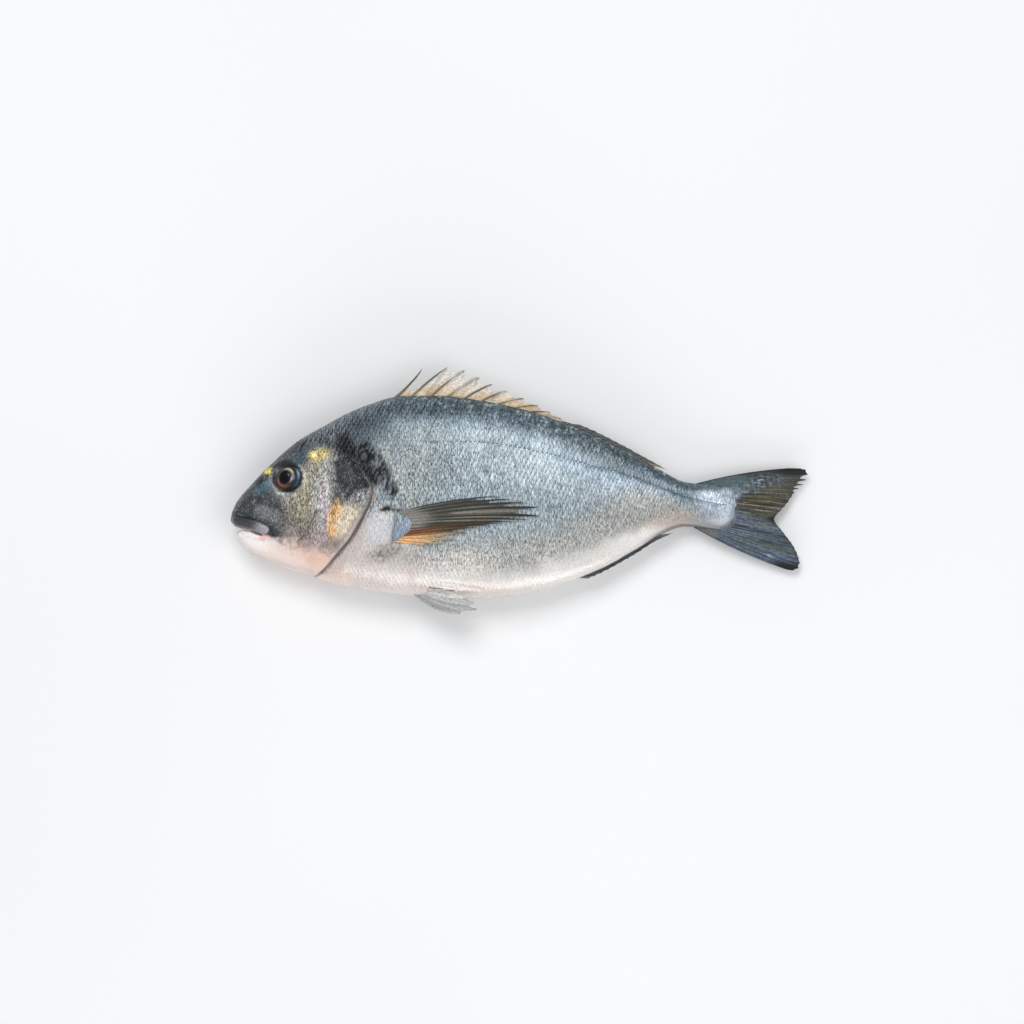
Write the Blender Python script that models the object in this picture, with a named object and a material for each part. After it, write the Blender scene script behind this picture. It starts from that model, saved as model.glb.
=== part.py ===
"""A whole gilt-head sea bream, lying on its right side with its left flank up.

The fish is one solid. +X runs from the snout to the tail, +Y from the belly to the back, and +Z up,
out of the left flank. Outlines are given in percent of the total length, the way fish are measured,
with the snout at 0 and heights counted from the level of the tail's root.
"""

import math

import bmesh
import bpy
import numpy as np

# Driving dimensions, in metres
TOTAL_LENGTH = 0.300
REST_HEIGHT = 0.0190      # the fish's middle plane above the table, where the flank is fullest
TAIL_DROOP = 0.0135       # how far the tip of the tail sinks towards the table

PERCENT = TOTAL_LENGTH / 100

# Outline of the body without its fins, in percent of the total length: (along, up)
BACK_OUTLINE = (
    (0.0, -3.2), (0.17, -2.25), (1.21, -0.17), (3.28, 2.25), (7.43, 6.56), (11.57, 10.02),
    (15.72, 12.44), (19.86, 14.68), (24.0, 16.41), (29.7, 17.84), (36.6, 17.84), (42.6, 17.13),
    (49.5, 15.75), (56.8, 13.5), (62.3, 11.3), (67.9, 8.5), (73.4, 5.5), (78.9, 2.9), (84.5, 2.4),
    (87.0, 0.6),
)
BELLY_OUTLINE = (
    (0.0, -3.9), (0.5, -4.6), (1.0, -5.7), (1.5, -7.1), (2.3, -8.15), (4.3, -9.65), (7.4, -10.95),
    (10.5, -12.05), (13.6, -12.75), (14.7, -13.5), (16.2, -14.1), (19.86, -15.03), (28.2, -16.35),
    (37.0, -17.1), (43.0, -17.1),
    (50.8, -16.3), (56.8, -14.7), (63.3, -12.35), (69.7, -8.9), (74.7, -5.9), (78.6, -4.75),
    (84.5, -5.3), (87.0, -3.9),
)
HALF_WIDTH = (
    (0.0, 1.2), (0.5, 1.9), (1.5, 2.6), (4.0, 3.5), (8.0, 4.6), (13.0, 5.8), (20.0, 6.7), (28.0, 7.0),
    (36.0, 6.8), (46.0, 5.9), (56.0, 4.6), (66.0, 3.2), (74.0, 2.2), (80.0, 1.6), (84.0, 1.15),
    (87.0, 0.45),
)
BELLY_ROUNDNESS = 0.48    # exponents of the cross-section: 0.5 at both ends is an ellipse
BACK_KEEL = ((0.0, 0.50), (6.0, 0.56), (20.0, 0.62), (60.0, 0.60), (80.0, 0.50))

# Rear edge of the gill cover, from the throat up to the end of its slit, then on to the nape
GILL_EDGE = (
    (14.5, -12.7), (16.65, -11.6), (17.65, -10.4), (19.65, -8.1), (20.8, -6.7), (22.5, -3.7),
    (23.4, -2.0), (24.1, -0.4), (24.5, 1.6), (23.8, 3.3), (22.6, 4.8), (21.1, 6.6), (20.0, 8.0),
    (18.5, 13.9),
)
GILL_STATION = 21.0       # the station whose line is bent along that edge
GILL_BEND_ENDS = (3.0, 46.0)
GILL_LIP = 0.38           # how far the cover's edge stands proud
GILL_GROOVE = 0.34        # how deep the slit behind it sinks

# Stations along the body, close together where the head's forms need them
STATIONS = (
    [0.0, 0.25, 0.7, 1.3, 2.1, 3.1, 4.2, 5.4, 6.7, 8.1, 9.6, 11.2, 12.8, 14.4, 15.9, 17.3, 18.6, 19.7]
    + [20.5, GILL_STATION - 0.12, GILL_STATION + 0.12, 21.7, 22.8]
    + [24.4 + 1.93 * step for step in range(28)]
    + [78.4, 80.1, 81.7, 83.3, 84.8, 86.0, 87.0]
)
RING_HALF = 24            # faces from belly to back on each side

# Eye: centre, and the radii of the socket and of the ball that fills it
EYE_CENTRE = (9.91, 3.73)
EYE_SOCKET_RADIUS = 2.75
EYE_BALL_RADIUS = 2.5
SOCKET_FLATNESS = 0.32
BALL_FLATNESS = 0.6
EYE_BULGE = 0.42

# Mouth, a slit that opens into a small wedge at the front
MOUTH_SLIT = (
    (-0.5, -4.0), (0.2, -4.25), (0.9, -4.75), (2.1, -5.1), (3.6, -5.35), (4.7, -5.8), (5.7, -6.3),
    (4.6, -6.08), (3.5, -5.62), (2.2, -5.4), (1.4, -5.6), (1.0, -5.95), (-0.5, -6.4),
)
MOUTH_BLADE_REACH = 8.0
UPPER_LIP = ((0.35, -3.75), (2.1, -4.5), (4.2, -4.9), (6.0, -5.35), (6.9, -5.3))
UPPER_LIP_RADII = (0.42, 0.5, 0.62, 0.72, 0.45)
LOWER_LIP = ((1.75, -6.1), (3.2, -6.1), (4.7, -6.7), (5.8, -6.9))
LOWER_LIP_RADII = (0.4, 0.5, 0.5, 0.3)
LIP_SINK = 0.27           # how far a lip's middle lies under the skin
NOSTRILS = (((5.15, 3.55), 0.7), ((6.1, 4.35), 0.4))   # centres and half lengths of the pits
NOSTRIL_SLANT = math.radians(45)
NOSTRIL_HALF_WIDTH = 0.28
NOSTRIL_DEPTH = 0.4

# Fins. A ray runs from its base to its tip, and membrane joins it to the next.
DORSAL_SPINES = (   # base along the back, then the tip
    (26.6, 32.5, 22.3), (30.4, 37.4, 22.83), (33.6, 40.35, 22.28), (36.4, 42.9, 21.05),
    (39.3, 45.1, 19.85), (42.1, 47.65, 18.7), (44.7, 50.6, 17.4), (47.3, 53.1, 16.2),
    (49.8, 55.2, 15.0), (52.1, 57.0, 13.95), (54.3, 59.2, 12.9),
)
DORSAL_SOFT_RAYS = (56.5, 70.5, 8)       # first base, last base, number of rays
DORSAL_SOFT_REACH = (5.0, 0.75)          # length along the back, height above it
DORSAL_BOW = 0.12
FIN_ROOT = 1.0                           # how deep the middle fins' bases lie in the flesh
ANAL_RAYS = (57.8, 72.2, 9)
ANAL_REACH = (4.4, -0.75)
CAUDAL_BASE = ((79.0, 2.3), (83.8, 1.5), (85.6, -0.5), (85.6, -2.6), (83.8, -4.4), (79.0, -4.3))
CAUDAL_TIPS = (
    (98.4, 5.35), (100.0, 4.6), (99.4, 3.2), (98.5, 1.9), (97.4, 0.7), (96.2, -0.8), (95.1, -2.2),
    (94.0, -3.5), (95.2, -5.0), (96.4, -6.9), (97.4, -8.7), (98.2, -10.2), (98.6, -11.6), (97.0, -12.45),
)
CAUDAL_BOW = 0.5
PELVIC_BASE = ((31.0, -15.9), (33.6, -15.3))
PELVIC_TIPS = (
    (39.7, -19.8), (42.7, -19.1), (42.1, -17.9), (40.9, -16.7), (38.6, -15.9), (36.6, -15.5),
)
PELVIC_BOW = 1.1
PELVIC_SPREAD = (1.3, 3.3)               # distance from the middle plane at the base and the tips
PECTORAL_BASE = ((31.3, -2.7), (30.9, -4.4), (30.0, -6.2), (28.4, -7.6))
PECTORAL_TIPS = (
    (46.6, 0.75), (52.0, -0.75), (53.3, -1.7), (53.7, -2.85), (48.9, -4.1), (44.2, -4.9),
    (40.6, -6.6), (37.6, -7.6), (34.4, -8.1),
)
PECTORAL_BOW = 0.7
PECTORAL_LIFT = 0.12                     # of the fin's middle above the flank
PECTORAL_SINK = 0.5                      # how deep its hidden face lies in the flesh
RAY_HALF_THICKNESS = 0.20
MEMBRANE_HALF_THICKNESS = 0.11
MEMBRANE_REACH = 0.90                    # of a ray's length
FLOOR_BLOCK_DEPTH = 0.02
WELD = 5e-6               # metres: points closer than this become one
SLIVER_HEIGHT = 5e-6      # metres: triangles flatter than this are turned
SLIVER_PASSES = 3


def clear_scene():
    for leftover in list(bpy.data.objects):
        bpy.data.objects.remove(leftover)


def curve_through(points):
    """A smooth function through (x, y) points that never overshoots them."""
    xs, ys = np.array(points, float).T
    step = np.diff(xs)
    slope = np.diff(ys) / step
    tangent = np.zeros_like(ys)
    same_way = slope[:-1] * slope[1:] > 0
    before, after = step[:-1] + 2 * step[1:], 2 * step[:-1] + step[1:]
    with np.errstate(divide="ignore", invalid="ignore"):
        mean = (before + after) / (before / slope[1:] + after / slope[:-1])
    tangent[1:-1] = np.where(same_way, mean, 0.0)
    tangent[0], tangent[-1] = slope[0], slope[-1]

    def at(x):
        x = np.clip(x, xs[0], xs[-1])
        k = np.clip(np.searchsorted(xs, x) - 1, 0, len(xs) - 2)
        t = (x - xs[k]) / step[k]
        return (
            (1 + 2 * t) * (1 - t) ** 2 * ys[k]
            + t * (1 - t) ** 2 * step[k] * tangent[k]
            + t * t * (3 - 2 * t) * ys[k + 1]
            - t * t * (1 - t) * step[k] * tangent[k + 1]
        )

    return at


def path_through(points):
    """A smooth path through points in the plane or in space, as a function of 0 to 1."""
    points = np.array(points, float)
    reach = np.r_[0, np.cumsum(np.linalg.norm(np.diff(points, axis=0), axis=1))]
    axes = [curve_through(np.c_[reach / reach[-1], column]) for column in points.T]
    return lambda share: np.stack([axis(share) for axis in axes], axis=-1)


def smooth_step(x, low, high):
    t = np.clip((x - low) / (high - low), 0, 1)
    return t * t * (3 - 2 * t)


back = curve_through(BACK_OUTLINE)
belly = curve_through(BELLY_OUTLINE)
half_width = curve_through(HALF_WIDTH)
back_keel = curve_through(BACK_KEEL)


def section(x, share):
    """Half width of the body at a share of its height, from the belly at 0 to the back at 1."""
    keel = back_keel(x)
    fullest = BELLY_ROUNDNESS / (BELLY_ROUNDNESS + keel)
    peak = fullest**BELLY_ROUNDNESS * (1 - fullest) ** keel
    return half_width(x) * share**BELLY_ROUNDNESS * (1 - share) ** keel / peak


def share_of_height(x, y):
    return np.clip((y - belly(x)) / (back(x) - belly(x)), 0, 1)


def flank(x, y):
    """How far the left flank stands out of the middle plane."""
    return section(x, share_of_height(x, y))


def gill_line():
    """The gill cover's edge as a function of the share of the body's height."""
    points = [(share_of_height(x, y), x) for x, y in GILL_EDGE]
    points[0] = (0.0, points[0][1])
    points[-1] = (1.0, points[-1][1])
    return curve_through(points)


gill_edge = gill_line()


def station_x(station, share):
    """Where a station's line crosses this share of the height. The lines near the gill bend with it."""
    start, end = GILL_BEND_ENDS
    bend = smooth_step(station, start, GILL_STATION) * (1 - smooth_step(station, GILL_STATION, end))
    return station + bend * (gill_edge(share) - GILL_STATION)


def gill_relief(station, share):
    """The cover's raised edge and the slit behind it."""
    slit = smooth_step(share, 0.0, 0.06) * (1 - smooth_step(share, 0.66, 0.8))
    ahead = GILL_STATION - station
    lip = GILL_LIP * (1 - smooth_step(ahead, 0.12, 4.5)) * (ahead > 0)
    groove = -GILL_GROOVE * (1 - smooth_step(-ahead, 0.12, 2.6)) * (ahead < 0)
    return slit * (lip + groove)


def lift(x):
    """Height of the middle plane above the table."""
    return (REST_HEIGHT - TAIL_DROOP * smooth_step(x, 48, 104)) / PERCENT


def settle(points):
    """Lays the fish down: points in percent about its middle plane become metres above the table."""
    points = np.array(points, float)
    points[..., 2] += lift(points[..., 0])
    return points * PERCENT


def make_object(name, points, faces):
    mesh = bpy.data.meshes.new(name)
    mesh.from_pydata([tuple(point) for point in points.reshape(-1, 3)], [], faces)
    shape = bmesh.new()
    shape.from_mesh(mesh)
    bmesh.ops.remove_doubles(shape, verts=shape.verts, dist=WELD)
    bmesh.ops.triangulate(shape, faces=shape.faces)
    bmesh.ops.recalc_face_normals(shape, faces=shape.faces)
    shape.to_mesh(mesh)
    shape.free()
    made = bpy.data.objects.new(name, mesh)
    bpy.context.scene.collection.objects.link(made)
    return made


def grid_faces(rows, columns, first=0, wrap=False):
    """Quads of a grid of points, joined end to end across its columns if wrap is set."""
    faces = []
    for row in range(rows - 1):
        for column in range(columns if wrap else columns - 1):
            after = (column + 1) % columns
            a, b = first + row * columns, first + (row + 1) * columns
            faces.append((a + column, a + after, b + after, b + column))
    return faces


def surface_normals(points):
    """Outward normals of a grid of rings."""
    along = np.gradient(points, axis=0)
    around = (np.roll(points, -1, axis=1) - np.roll(points, 1, axis=1)) / 2
    normals = np.cross(around, along)
    return normals / np.maximum(np.linalg.norm(normals, axis=-1, keepdims=True), 1e-9)


def body():
    """Rings lofted from snout to tail root, with the gill cover in relief."""
    turn = np.linspace(0, math.pi, RING_HALF + 1)
    height_share = (1 - np.cos(turn)) / 2
    share = np.r_[height_share, height_share[-2:0:-1]]
    side = np.r_[np.ones(RING_HALF + 1), -np.ones(RING_HALF - 1)]
    stations = np.array(STATIONS)[:, None]
    x = station_x(stations, share[None, :])
    y = belly(x) + share * (back(x) - belly(x))
    z = side * section(x, share)
    points = np.stack([x, y, z], axis=-1)
    points += surface_normals(points) * gill_relief(stations, share[None, :])[..., None]
    rows, columns = points.shape[:2]
    faces = grid_faces(rows, columns, wrap=True)
    faces.append(tuple(range(columns)))
    faces.append(tuple((rows - 1) * columns + i for i in reversed(range(columns))))
    return make_object("body", settle(points), faces)


def ellipsoid(name, centre, radii, turn=0.0, lean=(0.0, 0.0, 1.0)):
    """A ball squashed to three radii, turned in the plane of the flank, with its third axis along lean."""
    shape = bmesh.new()
    bmesh.ops.create_uvsphere(shape, u_segments=16, v_segments=8, radius=1.0)
    local = np.array([vertex.co for vertex in shape.verts]) * radii
    faces = [[vertex.index for vertex in face.verts] for face in shape.faces]
    shape.free()
    out = np.array(lean) / np.linalg.norm(lean)
    first = np.array([math.cos(turn), math.sin(turn), 0.0])
    first -= out * (first @ out)
    first /= np.linalg.norm(first)
    second = np.cross(out, first)
    placed = np.array(centre) + local @ np.array([first, second, out])
    return make_object(name, settle(placed), faces)


def flank_normal(x, y, side):
    """The flank's outward direction, by differences."""
    nudge = 0.2
    slope_x = (flank(x + nudge, y) - flank(x - nudge, y)) / (2 * nudge)
    slope_y = (flank(x, y + nudge) - flank(x, y - nudge)) / (2 * nudge)
    return np.array([-slope_x, -slope_y, 1.0]) / math.hypot(slope_x, slope_y, 1.0) * (1, 1, side)


def on_flank(spot, side, out):
    """A point on the left (side 1) or right (side -1) flank, moved out along the flank's normal."""
    x, y = spot
    return np.array([x, y, side * flank(x, y)]) + flank_normal(x, y, side) * out


def eye_socket(side):
    lean = flank_normal(*EYE_CENTRE, side)
    depth = EYE_SOCKET_RADIUS * SOCKET_FLATNESS
    centre = on_flank(EYE_CENTRE, side, depth / 2)
    return ellipsoid("eye_socket", centre, (EYE_SOCKET_RADIUS, EYE_SOCKET_RADIUS, depth), lean=lean)


def eye_ball(side):
    lean = flank_normal(*EYE_CENTRE, side)
    depth = EYE_BALL_RADIUS * BALL_FLATNESS
    centre = on_flank(EYE_CENTRE, side, EYE_BULGE - depth)
    return ellipsoid("eye_ball", centre, (EYE_BALL_RADIUS, EYE_BALL_RADIUS, depth), lean=lean)


def nostril(spot, half_length, side):
    lean = flank_normal(*spot, side)
    radii = (half_length, NOSTRIL_HALF_WIDTH, NOSTRIL_DEPTH)
    return ellipsoid("nostril", on_flank(spot, side, 0.0), radii, NOSTRIL_SLANT, lean)


def mouth_slit():
    """A blade through the head that parts the jaws."""
    reach = MOUTH_BLADE_REACH
    outline = np.array(MOUTH_SLIT)
    count = len(outline)
    points = np.concatenate([np.c_[outline, np.full(count, z)] for z in (-reach, reach)])
    faces = [tuple(range(count)), tuple(reversed(range(count, 2 * count)))]
    for i in range(count):
        j = (i + 1) % count
        faces.append((i, j, j + count, i + count))
    return make_object("mouth_slit", settle(points), faces)


def lip(name, line, radii):
    """A tapering roll round the front of a jaw, from one corner of the mouth to the other."""
    right = [on_flank(spot, -1, -LIP_SINK) for spot in reversed(line)]
    left = [on_flank(spot, 1, -LIP_SINK) for spot in line]
    path = path_through(right + left)
    size = curve_through(np.c_[np.linspace(0, 1, 2 * len(radii)), radii[::-1] + radii])
    shares = np.linspace(0, 1, 19)
    centres = path(shares)
    ahead = np.gradient(centres, axis=0)
    ahead /= np.linalg.norm(ahead, axis=1, keepdims=True)
    up = np.array([0.0, 1.0, 0.0])
    sideways = np.cross(ahead, up)
    sideways /= np.linalg.norm(sideways, axis=1, keepdims=True)
    upright = np.cross(sideways, ahead)
    turns = np.linspace(0, 2 * math.pi, 8, endpoint=False)[None, :, None]
    radius = size(shares)[:, None, None]
    points = centres[:, None] + radius * (
        np.cos(turns) * sideways[:, None] + np.sin(turns) * upright[:, None]
    )
    rows, columns = points.shape[:2]
    faces = grid_faces(rows, columns, wrap=True)
    faces += [tuple(range(columns)), tuple((rows - 1) * columns + i for i in reversed(range(columns)))]
    return make_object(name, settle(points), faces)


def with_membranes(rays):
    """Adds between each two rays a column of membrane, which stops short of the tips."""
    rows = rays.shape[1]
    reach = np.linspace(0, MEMBRANE_REACH, rows) * (rows - 1)
    low = np.minimum(reach.astype(int), rows - 2)
    part = (reach - low)[None, :, None]
    between = (rays[:-1] + rays[1:]) / 2
    between = between[:, low] * (1 - part) + between[:, low + 1] * part
    columns = np.empty((2 * len(rays) - 1,) + rays.shape[1:])
    columns[0::2] = rays
    columns[1::2] = between
    return columns


def bowed_rays(bases, tips, bow, rows):
    """Rays from bases to tips in the plane of the flank, each bowed sideways by its own bow."""
    t = np.linspace(0, 1, rows)[None, :, None]
    bases, tips = np.array(bases, float)[:, None], np.array(tips, float)[:, None]
    run = tips - bases
    sideways = np.stack([-run[..., 1], run[..., 0]], axis=-1)
    sideways /= np.linalg.norm(sideways, axis=-1, keepdims=True)
    return bases + run * t + sideways * np.array(bow, float).reshape(-1, 1, 1) * 4 * t * (1 - t)


def fin(name, flat_rays, heights):
    """A closed shell round the rays and their membrane. Heights gives its two faces' heights."""
    columns = with_membranes(flat_rays)
    count, rows = columns.shape[:2]
    half = np.where(np.arange(count) % 2 == 0, RAY_HALF_THICKNESS, MEMBRANE_HALF_THICKNESS)
    taper = np.linspace(1.0, 0.55, rows)
    half = half[:, None] * taper
    points = [np.concatenate([columns, height[..., None]], axis=-1) for height in heights(columns, half)]
    points = np.concatenate([face.reshape(-1, 3) for face in points])
    size = count * rows
    faces = grid_faces(count, rows)
    faces += [tuple(reversed(face)) for face in grid_faces(count, rows, first=size)]
    rim = (
        [(column, 0) for column in range(count)]
        + [(count - 1, row) for row in range(1, rows)]
        + [(column, rows - 1) for column in range(count - 2, -1, -1)]
        + [(0, row) for row in range(rows - 2, 0, -1)]
    )
    loop = [column * rows + row for column, row in rim]
    for here, after in zip(loop, loop[1:] + loop[:1]):
        faces.append((here, here + size, after + size, after))
    return make_object(name, settle(points), faces)


def upright(columns, half):
    """Both faces of a fin that stands in the middle plane."""
    return half, -half


def dorsal_fin():
    """Raised spines in front, and soft rays folded down along the back behind them."""
    first, last, count = DORSAL_SOFT_RAYS
    reach, rise = DORSAL_SOFT_REACH
    bases = [(x, back(x) - FIN_ROOT) for x, _, _ in DORSAL_SPINES]
    tips = [(x, y) for _, x, y in DORSAL_SPINES]
    for x in np.linspace(first, last, count):
        bases.append((x, back(x) - FIN_ROOT))
        tips.append((x + reach, back(x + reach) + rise))
    bow = np.full(len(bases), DORSAL_BOW)
    return fin("dorsal_fin", bowed_rays(bases, tips, bow, 4), upright)


def anal_fin():
    first, last, count = ANAL_RAYS
    reach, rise = ANAL_REACH
    starts = np.linspace(first, last, count)
    bases = [(x, belly(x) + FIN_ROOT) for x in starts]
    tips = [(x + reach, belly(x + reach) + rise) for x in starts]
    return fin("anal_fin", bowed_rays(bases, tips, np.zeros(count), 3), upright)


def caudal_fin():
    """Two lobes that fan out of the tail root and meet in the fork."""
    bases = path_through(CAUDAL_BASE)(np.linspace(0, 1, len(CAUDAL_TIPS)))
    bow = np.linspace(CAUDAL_BOW, -CAUDAL_BOW, len(CAUDAL_TIPS))
    return fin("caudal_fin", bowed_rays(bases, CAUDAL_TIPS, bow, 6), upright)


def pelvic_fin(side):
    near, far = PELVIC_SPREAD
    bases = path_through(PELVIC_BASE)(np.linspace(0, 1, len(PELVIC_TIPS)))
    bow = np.linspace(-PELVIC_BOW, 0.0, len(PELVIC_TIPS))
    rays = bowed_rays(bases, PELVIC_TIPS, bow, 5)

    def spread(columns, half):
        run = smooth_step(columns[..., 0], PELVIC_BASE[0][0], PELVIC_TIPS[1][0])
        middle = side * (near + (far - near) * run)
        return middle + half, middle - half

    return fin(f"pelvic_fin_{side}", rays, spread)


def pectoral_fin(side):
    """Folded back along the flank and lying on it."""
    bases = path_through(PECTORAL_BASE)(np.linspace(0, 1, len(PECTORAL_TIPS)))
    bow = np.linspace(PECTORAL_BOW, 0.0, len(PECTORAL_TIPS))
    rays = bowed_rays(bases, PECTORAL_TIPS, bow, 8)

    def hugging(columns, half):
        skin = flank(columns[..., 0], columns[..., 1])
        return side * (skin + PECTORAL_LIFT + half), side * (skin - PECTORAL_SINK)

    return fin(f"pectoral_fin_{side}", rays, hugging)


def floor_block():
    """The table's top, which presses the lower flank flat."""
    low, high = -10.0, 110.0
    corners = [(x, y, z) for z in (-FLOOR_BLOCK_DEPTH, 0.0) for x, y in
               ((low, -40.0), (high, -40.0), (high, 40.0), (low, 40.0))]
    points = np.array(corners) * (PERCENT, PERCENT, 1.0)
    faces = [(3, 2, 1, 0), (4, 5, 6, 7), (0, 1, 5, 4), (1, 2, 6, 5), (2, 3, 7, 6), (3, 0, 4, 7)]
    return make_object("floor_block", points, faces)


def combine(target, pieces, operation):
    """Applies one Boolean of the pieces to the target, then removes the pieces."""
    group = bpy.data.collections.new(operation.lower())
    bpy.context.scene.collection.children.link(group)
    for piece in pieces:
        bpy.context.scene.collection.objects.unlink(piece)
        group.objects.link(piece)
    step = target.modifiers.new(operation.lower(), "BOOLEAN")
    step.operation = operation
    step.operand_type = "COLLECTION"
    step.collection = group
    bpy.context.view_layer.objects.active = target
    bpy.ops.object.modifier_apply(modifier=step.name)
    for piece in pieces:
        bpy.data.objects.remove(piece)
    bpy.data.collections.remove(group)
    weld(target)


def weld(target):
    """Joins points that a Boolean left almost on top of each other, and opens up flat triangles."""
    shape = bmesh.new()
    shape.from_mesh(target.data)
    bmesh.ops.triangulate(shape, faces=shape.faces)
    bmesh.ops.remove_doubles(shape, verts=shape.verts, dist=WELD)
    bmesh.ops.dissolve_degenerate(shape, edges=shape.edges, dist=WELD)
    bmesh.ops.triangulate(shape, faces=shape.faces)
    for _ in range(SLIVER_PASSES):
        turn_long_edges(shape)
    shape.to_mesh(target.data)
    shape.free()


def turn_long_edges(shape):
    """Turns the long edge of each flat triangle to cross it, if no such edge is there already."""
    shape.faces.ensure_lookup_table()
    for face in list(shape.faces):
        if not face.is_valid:
            continue
        longest = max(face.edges, key=lambda edge: edge.calc_length())
        height = 2 * face.calc_area() / longest.calc_length()
        if height > SLIVER_HEIGHT or len(longest.link_faces) != 2:
            continue
        tips = [vertex for side in longest.link_faces for vertex in side.verts if vertex not in longest.verts]
        if not any(edge.other_vert(tips[0]) == tips[1] for edge in tips[0].link_edges):
            bmesh.utils.edge_rotate(longest)


def rest_on_origin(fish):
    """Puts the origin under the middle of the fish, on the table."""
    corners = np.array([vertex.co for vertex in fish.data.vertices])
    low, high = corners.min(axis=0), corners.max(axis=0)
    for vertex in fish.data.vertices:
        vertex.co.x -= (low[0] + high[0]) / 2
        vertex.co.y -= (low[1] + high[1]) / 2
        vertex.co.z -= low[2]


def wet_skin():
    """Grey silver skin with a wet shine."""
    material = bpy.data.materials.new("fish_skin")
    material.use_nodes = True
    shader = material.node_tree.nodes["Principled BSDF"]
    shader.inputs["Base Color"].default_value = (0.36, 0.40, 0.42, 1.0)
    shader.inputs["Roughness"].default_value = 0.32
    shader.inputs["Metallic"].default_value = 0.25
    return material


def sea_bream():
    fish = body()
    fish.name = fish.data.name = "sea_bream"
    sides = (1, -1)
    cuts = [mouth_slit()]
    cuts += [eye_socket(side) for side in sides]
    cuts += [nostril(spot, size, side) for spot, size in NOSTRILS for side in sides]
    combine(fish, cuts, "DIFFERENCE")
    grown = [lip("upper_lip", UPPER_LIP, UPPER_LIP_RADII)]
    grown += [lip("lower_lip", LOWER_LIP, LOWER_LIP_RADII)]
    grown += [eye_ball(side) for side in sides]
    grown += [dorsal_fin(), anal_fin(), caudal_fin()]
    grown += [pelvic_fin(side) for side in sides]
    grown += [pectoral_fin(side) for side in sides]
    combine(fish, grown, "UNION")
    combine(fish, [floor_block()], "DIFFERENCE")
    rest_on_origin(fish)
    fish.data.materials.append(wet_skin())
    fish.data.shade_smooth()
    fish.data.set_sharp_from_angle(angle=math.radians(40))


clear_scene()
sea_bream()
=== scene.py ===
"""The looks of a whole gilt-head sea bream that lies on its right side and is seen from above.

The solid in the frame gives the fish its place and its box. What shows is modelled here: a skin with
the forms of the head, the scales one by one, fins with their rays, and wet eyes and lips. Places are
in percent of the fish's total length, as fish are measured: along from the snout, up from the level
of the tail's root, and out from the middle plane.
"""

import math

import bmesh
import bpy
import numpy as np
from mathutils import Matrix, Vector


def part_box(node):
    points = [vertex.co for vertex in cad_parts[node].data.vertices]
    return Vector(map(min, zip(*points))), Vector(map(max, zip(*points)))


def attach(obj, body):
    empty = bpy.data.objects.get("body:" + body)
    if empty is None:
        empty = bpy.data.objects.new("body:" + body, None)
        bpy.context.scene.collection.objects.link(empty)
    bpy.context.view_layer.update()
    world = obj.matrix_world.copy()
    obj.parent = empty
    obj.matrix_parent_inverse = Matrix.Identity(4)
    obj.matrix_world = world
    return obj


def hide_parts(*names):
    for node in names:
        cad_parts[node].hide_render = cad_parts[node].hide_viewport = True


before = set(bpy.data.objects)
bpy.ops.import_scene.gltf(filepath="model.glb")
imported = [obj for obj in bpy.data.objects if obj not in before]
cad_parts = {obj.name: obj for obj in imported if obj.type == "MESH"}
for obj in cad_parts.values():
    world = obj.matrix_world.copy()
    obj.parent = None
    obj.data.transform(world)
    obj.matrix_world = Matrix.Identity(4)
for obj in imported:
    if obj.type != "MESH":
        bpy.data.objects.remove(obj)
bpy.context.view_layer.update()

LOW, HIGH = (np.array(corner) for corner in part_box("sea_bream"))

# The fish's own measures, as in the solid
PERCENT = (HIGH[0] - LOW[0]) / 100      # metres
DORSAL_TOP = 22.83
ORIGIN = np.array((LOW[0], HIGH[1] - DORSAL_TOP * PERCENT, LOW[2]))
SIDES = ((1, "left"), (-1, "right"))
PRESS_START, PRESS_DEPTH = 0.0010, 0.0040      # metres above and below the table
REST_HEIGHT = 0.0190 / PERCENT
TAIL_DROOP = 0.0135 / PERCENT
BACK_OUTLINE = (
    (0.0, -3.2), (0.17, -2.25), (1.21, -0.17), (3.28, 2.25), (7.43, 6.56), (11.57, 10.02),
    (15.72, 12.44), (19.86, 14.68), (24.0, 16.41), (29.7, 17.84), (36.6, 17.84), (42.6, 17.13),
    (49.5, 15.75), (56.8, 13.5), (62.3, 11.3), (67.9, 8.5), (73.4, 5.5), (78.9, 2.9), (84.5, 2.4),
    (87.0, 0.6),
)
BELLY_OUTLINE = (
    (0.0, -3.9), (0.5, -4.6), (1.0, -5.7), (1.5, -7.1), (2.3, -8.15), (4.3, -9.65), (7.4, -10.95),
    (10.5, -12.05), (13.6, -12.75), (14.7, -13.5), (16.2, -14.1), (19.86, -15.03), (28.2, -16.35),
    (37.0, -17.1), (43.0, -17.1), (50.8, -16.3), (56.8, -14.7), (63.3, -12.35), (69.7, -8.9),
    (74.7, -5.9), (78.6, -4.75), (84.5, -5.3), (87.0, -3.9),
)
HALF_WIDTH = (
    (0.0, 0.6), (0.25, 1.2), (0.7, 1.75), (1.6, 2.45), (4.0, 3.5), (8.0, 4.6), (13.0, 5.8),
    (20.0, 6.7), (28.0, 7.0), (36.0, 6.8), (46.0, 5.9), (56.0, 4.6), (66.0, 3.2), (74.0, 2.2),
    (80.0, 1.6), (84.0, 1.0), (86.0, 0.42), (87.0, 0.13),
)
BELLY_ROUNDNESS = 0.48
BACK_KEEL = ((0.0, 0.50), (6.0, 0.56), (20.0, 0.62), (60.0, 0.60), (80.0, 0.50))
BODY_END = 87.0
SKIN_COLUMNS = 224

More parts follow.
